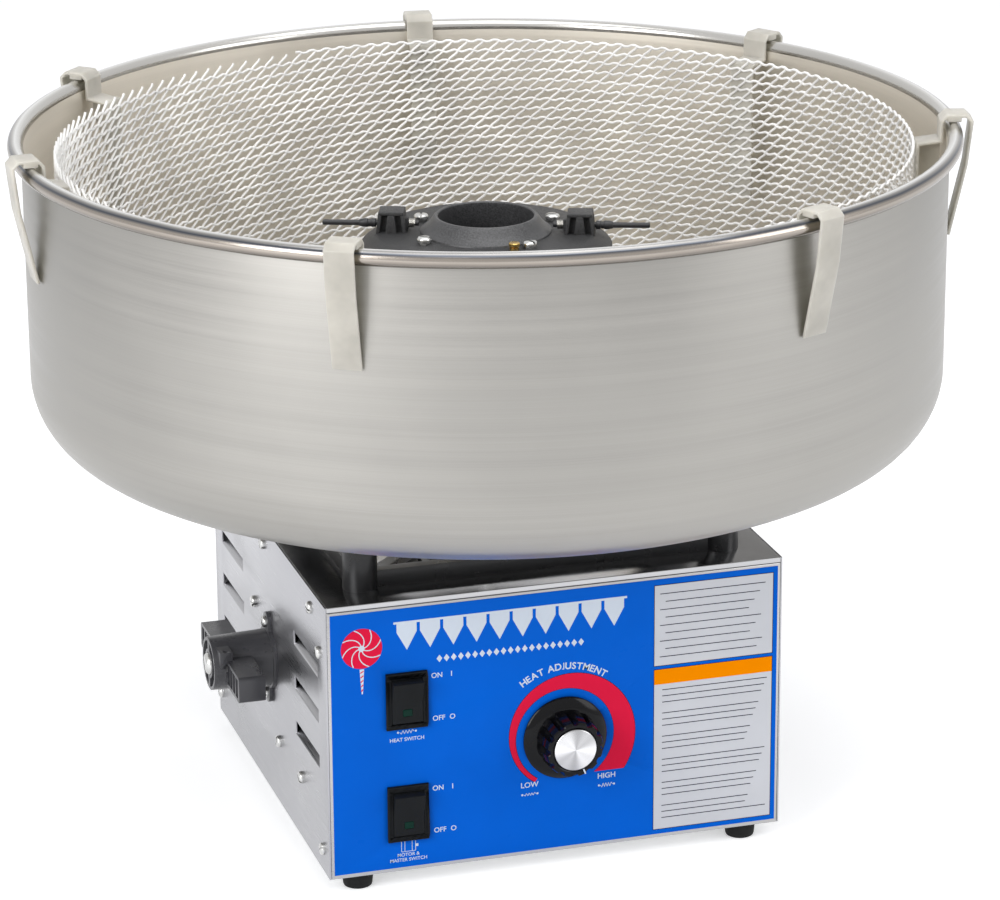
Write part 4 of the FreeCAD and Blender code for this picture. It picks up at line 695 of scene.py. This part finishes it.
# ---------------------------------------------------------------- switches
def make_switches():
    for name, height in zip(("heat", "motor"), SWITCH_Z):
        shape = bmesh.new()
        face = PRINT_Y - 2.6
        half_w, half_h, well_w, well_h = 14.5, 20.5, 11.15, 16.3
        for a, b in (((-half_w, well_h), (half_w, half_h)), ((-half_w, -half_h), (half_w, -well_h)),
                     ((-half_w, -well_h), (-well_w, well_h)), ((well_w, -well_h), (half_w, well_h))):
            cube(shape, (SWITCH_X + a[0], face, height + a[1]), (SWITCH_X + b[0], PRINT_Y, height + b[1]))
        bmesh.ops.remove_doubles(shape, verts=shape.verts, dist=1e-6)
        rim = [e for e in shape.edges if len(e.link_faces) == 2 and e.calc_face_angle(0) > 1.0
               and all(v.co.y * 1000 < face + 0.01 for v in e.verts)]
        bmesh.ops.bevel(shape, geom=rim, offset=0.0008, affect="EDGES", segments=3, profile=0.5, material=-1,
                        clamp_overlap=True)
        finish_piece(name + "_switch_bezel", shape, MATT_BLACK, "cabinet")
        coat(name + "_switch_body", MATT_BLACK)
        softened(name + "_switch_rocker", MATT_BLACK, 0.7, 3)
        softened(name + "_switch_lens", LENS_GREEN, 0.45, 3)


# ---------------------------------------------------------------- printing on the front
def on_panel(x, z, lift=0.0):
    return mm(x, PRINT_Y - lift, z)


def flat_shape(shape, points, lift=0.04):
    """Thin print from its outline of (x, z) points, lifted off the film by a few hundredths."""
    verts = [shape.verts.new(on_panel(x, z, lift)) for x, z in points]
    face = shape.faces.new(verts)
    face.normal_update()
    if face.normal.y > 0:
        face.normal_flip()


def bar(shape, x0, z0, x1, z1, lift=0.04):
    flat_shape(shape, [(x0, z0), (x1, z0), (x1, z1), (x0, z1)], lift)


def disc(shape, x, z, radius, count=40, lift=0.04):
    turns = [math.tau * i / count for i in range(count)]
    flat_shape(shape, [(x + radius * math.cos(t), z + radius * math.sin(t)) for t in turns], lift)


def line(shape, points, width, lift=0.05):
    """Drawn line of even width through (x, z) points, one flat stroke for each stretch."""
    for (x0, z0), (x1, z1) in zip(points, points[1:]):
        length = math.hypot(x1 - x0, z1 - z0)
        nx, nz = -(z1 - z0) / length * width / 2, (x1 - x0) / length * width / 2
        flat_shape(shape, [(x0 + nx, z0 + nz), (x0 - nx, z0 - nz), (x1 - nx, z1 - nz), (x1 + nx, z1 + nz)],
                   lift)


def word_shape(words, weight=0.0):
    text = bpy.data.curves.new("letters", "FONT")
    text.body = words
    text.offset = weight
    return shape_of(text)


def letters(shape, words, x, z, height, lift=0.05, turn=0.0, weight=0.0):
    """Block capitals of that height, centred on x and z."""
    made = word_shape(words, weight)
    low_x, high_x = min(v.co.x for v in made.verts), max(v.co.x for v in made.verts)
    low_y, high_y = min(v.co.y for v in made.verts), max(v.co.y for v in made.verts)
    scale = height / (high_y - low_y)
    for v in made.verts:
        a = (v.co.x - low_x - 0.5 * (high_x - low_x)) * scale
        b = (v.co.y - (low_y + high_y) / 2) * scale
        c, s = math.cos(turn), math.sin(turn)
        v.co = on_panel(x + a * c - b * s, z + a * s + b * c, lift)
    for f in made.faces:
        f.normal_update()
        if f.normal.y > 0:
            f.normal_flip()
    copy = bpy.data.meshes.new("letters")
    made.to_mesh(copy)
    made.free()
    shape.from_mesh(copy)
    bpy.data.meshes.remove(copy)


def coil_mark(shape, x, z, length, height):
    """Plain heater symbol: a zigzag between two dots."""
    turns = 4
    points = [(x - length * 0.34, z)]
    for i in range(turns * 2):
        across = x - length * 0.26 + length * 0.52 * i / (turns * 2 - 1)
        points.append((across, z + (0.5 if i % 2 else -0.5) * height))
    points.append((x + length * 0.34, z))
    line(shape, points, 0.38)
    for side in (-1, 1):
        disc(shape, x + side * length * 0.42, z, 0.75, 16)


def motor_mark(shape, x, z):
    """Plain motor symbol: a ribbed can with a stub of shaft."""
    line(shape, [(x - 5, z + 4), (x - 5, z - 4), (x + 5, z - 4), (x + 5, z + 4)], 0.4)
    for dx in (-2.6, 2.6):
        line(shape, [(x + dx, z + 4), (x + dx, z - 4)], 0.4)
    bar(shape, x + 5, z - 1.0, x + 7, z + 1.0)


def dial_band():
    """Inner and outer edge of the band round the dial, from its thin end to its broad, level end."""
    steps, begin, inner_end, outer_end = 72, 236, -53.5, -34.0
    inner, outer = [], []
    for i in range(steps + 1):
        share = i / steps
        swell = share * share * (3 - 2 * share)
        for edge, radius, end in ((inner, 35.0 + 1.2 * swell, inner_end),
                                  (outer, 38.0 + 14.0 * swell, outer_end)):
            turn = math.radians(begin + (end - begin) * share)
            edge.append((KNOB_X + radius * math.cos(turn), KNOB_Z + radius * math.sin(turn)))
    return inner, outer


def glyph_width(letter):
    """Width of a letter as a share of its height."""
    if letter == " ":
        return 0.3
    glyph = word_shape(letter)
    across, up = [v.co.x for v in glyph.verts], [v.co.y for v in glyph.verts]
    glyph.free()
    return (max(across) - min(across)) / (max(up) - min(up))


def curved(shape, words, radius, begin, end, height, weight):
    """Words spread evenly over the top of the dial, their feet towards its middle."""
    widths = [glyph_width(letter) + 0.22 for letter in words]
    reach = 0.0
    for letter, width in zip(words, widths):
        middle = begin + (end - begin) * (reach + width / 2) / sum(widths)
        reach += width
        if letter != " ":
            turn = math.radians(middle)
            letters(shape, letter, KNOB_X + radius * math.cos(turn), KNOB_Z + radius * math.sin(turn), height,
                    turn=turn - math.pi / 2, weight=weight)


def strip(shape, inner, outer, lift, grow=0.0):
    """Band of quads between two edges; grow widens it by that much."""
    wide_in, wide_out = [], []
    for (x0, z0), (x1, z1) in zip(inner, outer):
        length = math.hypot(x1 - x0, z1 - z0)
        dx, dz = (x1 - x0) / length * grow, (z1 - z0) / length * grow
        wide_in.append((x0 - dx, z0 - dz))
        wide_out.append((x1 + dx, z1 + dz))
    for i in range(len(inner) - 1):
        flat_shape(shape, [wide_in[i], wide_out[i], wide_out[i + 1], wide_in[i + 1]], lift)


def draw_pennants(pale):
    """Pennants on a cord, with a row of small lozenges under them."""
    left, right, top, count = -115.0, 49.0, 195.0, 10
    shoulder, tip = top - 7.0, top - 20.0
    pitch = (right - left) / count
    for i in range(count):
        x, half = left + pitch * (i + 0.5), pitch * 0.43
        flat_shape(pale, [(x - half, top), (x - half, shoulder), (x, tip), (x + half, shoulder),
                          (x + half, top)])
    line(pale, [(left - 1, top), (right + 1, top)], 1.6)
    row_x, row_w, row_z, lozenges = -84.0, 101.0, 166.0, 21
    for i in range(lozenges):
        x = row_x + row_w * i / (lozenges - 1)
        flat_shape(pale, [(x - 2.0, row_z), (x, row_z - 2.7), (x + 2.0, row_z), (x, row_z + 2.7)])


def draw_pinwheel(pale, red):
    """Pinwheel on a striped stick."""
    wheel_x, wheel_z, wheel_r = -138.5, 179.5, 14.4
    blades, steps, sweep = 8, 8, 1.15
    disc(red, wheel_x, wheel_z, wheel_r, 64)
    for blade in range(blades):
        points = []
        for i in range(steps + 1):
            reach = wheel_r * (i / steps)
            turn = math.tau * blade / blades + i / steps * sweep
            points.append((wheel_x + reach * math.cos(turn), wheel_z + reach * math.sin(turn)))
        line(pale, points[1:], 0.75, 0.07)
    disc(pale, wheel_x, wheel_z, 2.2, 32, 0.08)
    stick_top, stick_low = 164.6, 146.5
    flat_shape(pale, [(wheel_x - 1.6, stick_top), (wheel_x - 0.4, stick_low),
                      (wheel_x + 0.4, stick_low), (wheel_x + 1.6, stick_top)])
    for i in range(5):
        z, half = stick_top - 2.0 - 3.3 * i, 1.2 - i * 0.16
        line(red, [(wheel_x - half, z - 0.8), (wheel_x + half, z + 0.6)], 0.8, 0.07)


def draw_switch_marks(pale):
    for height in SWITCH_Z:
        for words, x, rise in (("ON", -86.0, 15.6), ("I", -75.6, 15.6), ("OFF", -84.8, -15.8),
                               ("O", -75.2, -15.8)):
            letters(pale, words, x, height + rise, 3.7, weight=0.012)
    heat_z, motor_z = SWITCH_Z
    coil_mark(pale, SWITCH_X, heat_z - 23.2, 15.0, 2.6)
    letters(pale, "HEAT SWITCH", SWITCH_X, heat_z - 28.6, 2.7, weight=0.01)
    motor_mark(pale, SWITCH_X, motor_z - 24.9)
    letters(pale, "MOTOR &", SWITCH_X, motor_z - 31.2, 2.5, weight=0.01)
    letters(pale, "MASTER SWITCH", SWITCH_X, motor_z - 34.9, 2.5, weight=0.01)


def draw_dial(pale, red, dark):
    inner, outer = dial_band()
    strip(dark, inner, outer, 0.04, 0.45)
    strip(red, inner, outer, 0.07)
    curved(pale, "HEAT ADJUSTMENT", 52.0, 127.0, 54.0, 5.0, 0.02)
    words_z, mark_z = 64.6, 57.5
    for words, x, swing in (("LOW", -20.2, 2.0), ("HIGH", 35.5, 3.0)):
        letters(pale, words, x, words_z, 4.0, weight=0.015)
        coil_mark(pale, x, mark_z, 13.0, swing)


def draw_panels(dark, silver, orange):
    """Two bordered panels with ruled lines; a plain band heads the lower one."""
    left, right, border, stroke = 69.6, 157.0, 0.5, 0.6
    for low_z, high_z in ((141.0, 201.0), (18.3, 139.0)):
        bar(dark, left, low_z, right, high_z, 0.04)
        bar(silver, left + border, low_z + border, right - border, high_z - border, 0.06)
    bar(orange, left + border, 127.5, right - border, 138.5, 0.08)
    for row in range(9):
        z, indent, short = 194.0 - row * 5.8, 4 if row % 2 else 0, (row * 17) % 13
        bar(dark, 74.0 + indent, z, 151.0 - short, z + stroke, 0.09)
    for block in range(6):
        for row in range(3):
            z, short = 123.0 - block * 17.4 - row * 4.6, ((block * 3 + row) * 19) % 17
            bar(dark, 76.0, z, 153.0 - short, z + stroke, 0.09)


def make_printing():
    pale, red, dark, silver, orange = [bmesh.new() for _ in range(5)]
    draw_pennants(pale)
    draw_pinwheel(pale, red)
    draw_switch_marks(pale)
    draw_dial(pale, red, dark)
    draw_panels(dark, silver, orange)
    for name, shape, finish in (("pale_marks", pale, PALE_PRINT), ("red_marks", red, RED_PRINT),
                                ("dark_marks", dark, DARK_PRINT), ("silver_panels", silver, LABEL_SILVER),
                                ("orange_band", orange, ORANGE_PRINT)):
        finish_piece("print_" + name, shape, finish, "cabinet")


# ---------------------------------------------------------------- cabinet, cleat and support
def make_cabinet():
    for node_name in ("side_panel_left", "side_panel_right"):
        softened(node_name, STEEL_SIDE, 0.35, 2)
    softened("front_panel", STEEL_FRONT, 0.5, 2)
    softened("top_deck", STEEL_DECK, 0.5, 3)
    softened("rear_panel", STEEL_SIDE, 0.35, 2)
    softened("front_overlay", BLUE_FILM, 0.12, 1)
    coat("base_pan", ZINC)
    softened("lead_gland", MATT_BLACK, 0.5, 2)
    left = ((8.6, 198.5), (-125.4, 198.5), (140.0, 198.5), (-147.0, 174.0), (40.0, 143.0),
            (-28.0, 61.4), (-91.0, 59.3), (-148.0, 29.4), (153.0, 29.4))
    right = ((8.6, 198.5), (-125.4, 198.5), (140.0, 198.5), (-147.0, 180.0), (-147.0, 114.0),
             (-147.0, 39.0), (153.0, 29.4), (153.0, 114.0))
    rear = ((-120.0, 198.5), (0.0, 198.5), (120.0, 198.5), (-120.0, 22.0), (0.0, 22.0), (120.0, 22.0))
    half = CABINET_W / 2
    places = [((-half, y, z), -X) for y, z in left] + [((half, y, z), X) for y, z in right]
    places += [((x, CABINET_D / 2, z), Y) for x, z in rear]
    on_cleat = [((-half - CLEAT_FLANGE_T, CLEAT_Y, CLEAT_Z + s * CLEAT_SCREW_RISE), -X) for s in (1, -1)]
    on_deck = [((sx * SUPPORT_SCREW_X, sy * SUPPORT_SCREW_Y, DECK_Z + SUPPORT_FLANGE_T), Z)
               for sx in (-1, 1) for sy in (-1, 1)]
    shape = bmesh.new()
    for group, radius, height in ((places, 4.4, 3.2), (on_cleat, 4.2, 3.0), (on_deck, 5.0, 3.2)):
        for i, (base, out) in enumerate(group):
            pan_head(shape, base, out, radius, height, slot_turn=(i * 67 + 15) % 180)
    finish_piece("outside_fixings", shape, SCREW_STEEL, "cabinet", ["fixing_screws"])


def make_feet():
    for place_name in ("front_left", "front_right", "back_left", "back_right"):
        low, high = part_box("foot_" + place_name)
        middle = (Vector(low) + Vector(high)) / 2
        foot = bmesh.new()
        spun(foot, [(0, 4.5), (4.4, 4.5), (4.4, 0.6), (5.0, 0), (8.9, 0), (9.8, 0.5), (10.2, 1.6),
                    (11.2, 11.4), (11.0, FOOT_H), (0, FOOT_H)], 48, closed=False,
             matrix=Matrix.Translation(Vector((middle.x, middle.y, 0))))
        finish_piece("bumper_" + place_name, foot, RUBBER, "cabinet", ["foot_" + place_name])


def make_cleat():
    softened("cord_cleat", CLEAT_BLACK, 0.7, 2)
    shape = bmesh.new()
    pan_head(shape, (-CABINET_W / 2 - CLEAT_OUT, CLEAT_Y, CLEAT_Z), -X, 8.0, 6.4, 1.8, 25)
    finish_piece("cleat_centre_bolt", shape, SCREW_STEEL, "cabinet", ["cleat_bolt"])


def make_support():
    softened("bowl_support", SUPPORT_BLACK, 0.9, 2)
    softened("support_seat", SUPPORT_BLACK, 0.7, 2)


def coat_inside():
    for node_name, finish in (
            ("heat_control", ZINC), ("control_nut", SCREW_STEEL), ("control_shaft", SCREW_STEEL),
            ("motor_plate", ZINC), ("motor_isolators", RUBBER), ("motor_can", MOTOR_GREY),
            ("motor_end_bell", MOTOR_GREY), ("motor_stator", IRON), ("motor_rotor", IRON),
            ("motor_shaft", SCREW_STEEL), ("shaft_bearing", SCREW_STEEL), ("carbon_brushes", CARBON),
            ("brush_holder", INSULATOR), ("slip_ring_hub", INSULATOR), ("slip_rings", BRASS),
            ("heating_element", ELEMENT)):
        coat(node_name, finish)
    softened("head_base", HEAD_SMOOTH, 0.5, 2)


# ---------------------------------------------------------------- stage, light and camera
def seen_plainly(tree):
    """1 on rays from the camera, on gloss and through glass, and 0 on light that falls on the object."""
    seen = node(tree, "ShaderNodeLightPath").outputs
    shows = sums(tree, "MAXIMUM", seen["Is Camera Ray"], seen["Is Transmission Ray"])
    return sums(tree, "MAXIMUM", shows, seen["Is Glossy Ray"])


def make_backdrop():
    world = bpy.context.scene.world or bpy.data.worlds.new("studio")
    bpy.context.scene.world = world
    world.use_nodes = True
    tree = world.node_tree
    tree.nodes.clear()
    shows = seen_plainly(tree)
    lit = node(tree, "ShaderNodeBackground", {"Color": (0.93, 0.95, 1.0, 1), "Strength": 0.55}).outputs[0]
    white = node(tree, "ShaderNodeBackground", {"Color": (1, 1, 1, 1), "Strength": 1.0}).outputs[0]
    mixed = node(tree, "ShaderNodeMixShader", {0: shows, 1: lit, 2: white}).outputs[0]
    node(tree, "ShaderNodeOutputWorld", {"Surface": mixed})


def make_floor():
    floor_shape = bmesh.new()
    bmesh.ops.create_grid(floor_shape, x_segments=1, y_segments=1, size=6.0)
    mesh = bpy.data.meshes.new("floor")
    floor_shape.to_mesh(mesh)
    floor_shape.free()
    floor = bpy.data.objects.new("floor", mesh)
    bpy.context.scene.collection.objects.link(floor)
    finish = bpy.data.materials.new("pale_floor")
    finish.use_nodes = True
    tree = finish.node_tree
    tree.nodes.clear()
    glow_strength = sums(tree, "MULTIPLY", seen_plainly(tree), 0.42)
    matt = node(tree, "ShaderNodeBsdfDiffuse", {"Color": (0.86, 0.86, 0.86, 1)}).outputs[0]
    glow = node(tree, "ShaderNodeEmission", {"Color": (1, 1, 1, 1), "Strength": glow_strength})
    both = node(tree, "ShaderNodeAddShader", {0: matt, 1: glow.outputs[0]}).outputs[0]
    node(tree, "ShaderNodeOutputMaterial", {"Surface": both})
    mesh.materials.append(finish)


def lamp(name, at, toward, size, power):
    light = bpy.data.lights.new(name, "AREA")
    light.shape = "RECTANGLE"
    light.size, light.size_y = size
    light.energy = power
    holder = bpy.data.objects.new(name, light)
    bpy.context.scene.collection.objects.link(holder)
    holder.location = at
    holder.rotation_euler = (Vector(toward) - Vector(at)).to_track_quat("-Z", "Y").to_euler()


def make_lights():
    lamp("overhead_softbox", (0.1, -0.5, 2.6), (0, 0, 0.3), (2.4, 2.0), 34.0)
    lamp("left_softbox", (-2.6, -1.6, 1.5), (0, 0, 0.3), (1.6, 2.0), 64.0)
    lamp("right_softbox", (2.4, -1.8, 1.4), (0, 0, 0.25), (1.4, 1.8), 26.0)


def make_camera():
    heading, pitch, roll = math.atan2(0.289, 0.957), math.radians(-18.75), math.radians(-0.36)
    level = math.cos(pitch)
    ahead = Vector((math.sin(heading) * level, math.cos(heading) * level, math.sin(pitch)))
    lens = bpy.data.cameras.new("view")
    lens.sensor_width, lens.lens = 36.0, 149.4
    holder = bpy.data.objects.new("view", lens)
    bpy.context.scene.collection.objects.link(holder)
    turn = ahead.to_track_quat("-Z", "Y").to_matrix().to_4x4()
    holder.matrix_world = (Matrix.Translation(Vector((-0.801, -2.683, 1.204))) @ turn
                           @ Matrix.Rotation(roll, 4, "Z"))
    bpy.context.scene.camera = holder


make_backdrop()
make_floor()
make_lights()
make_camera()
make_cabinet()
make_feet()
make_cleat()
make_support()
make_switches()
make_knob()
make_printing()
coat_inside()
make_cover()
make_rods()
make_springs()
make_head_fasteners()
make_bowl()
make_net()
make_clips()

bpy.context.scene.view_settings.view_transform = "Standard"
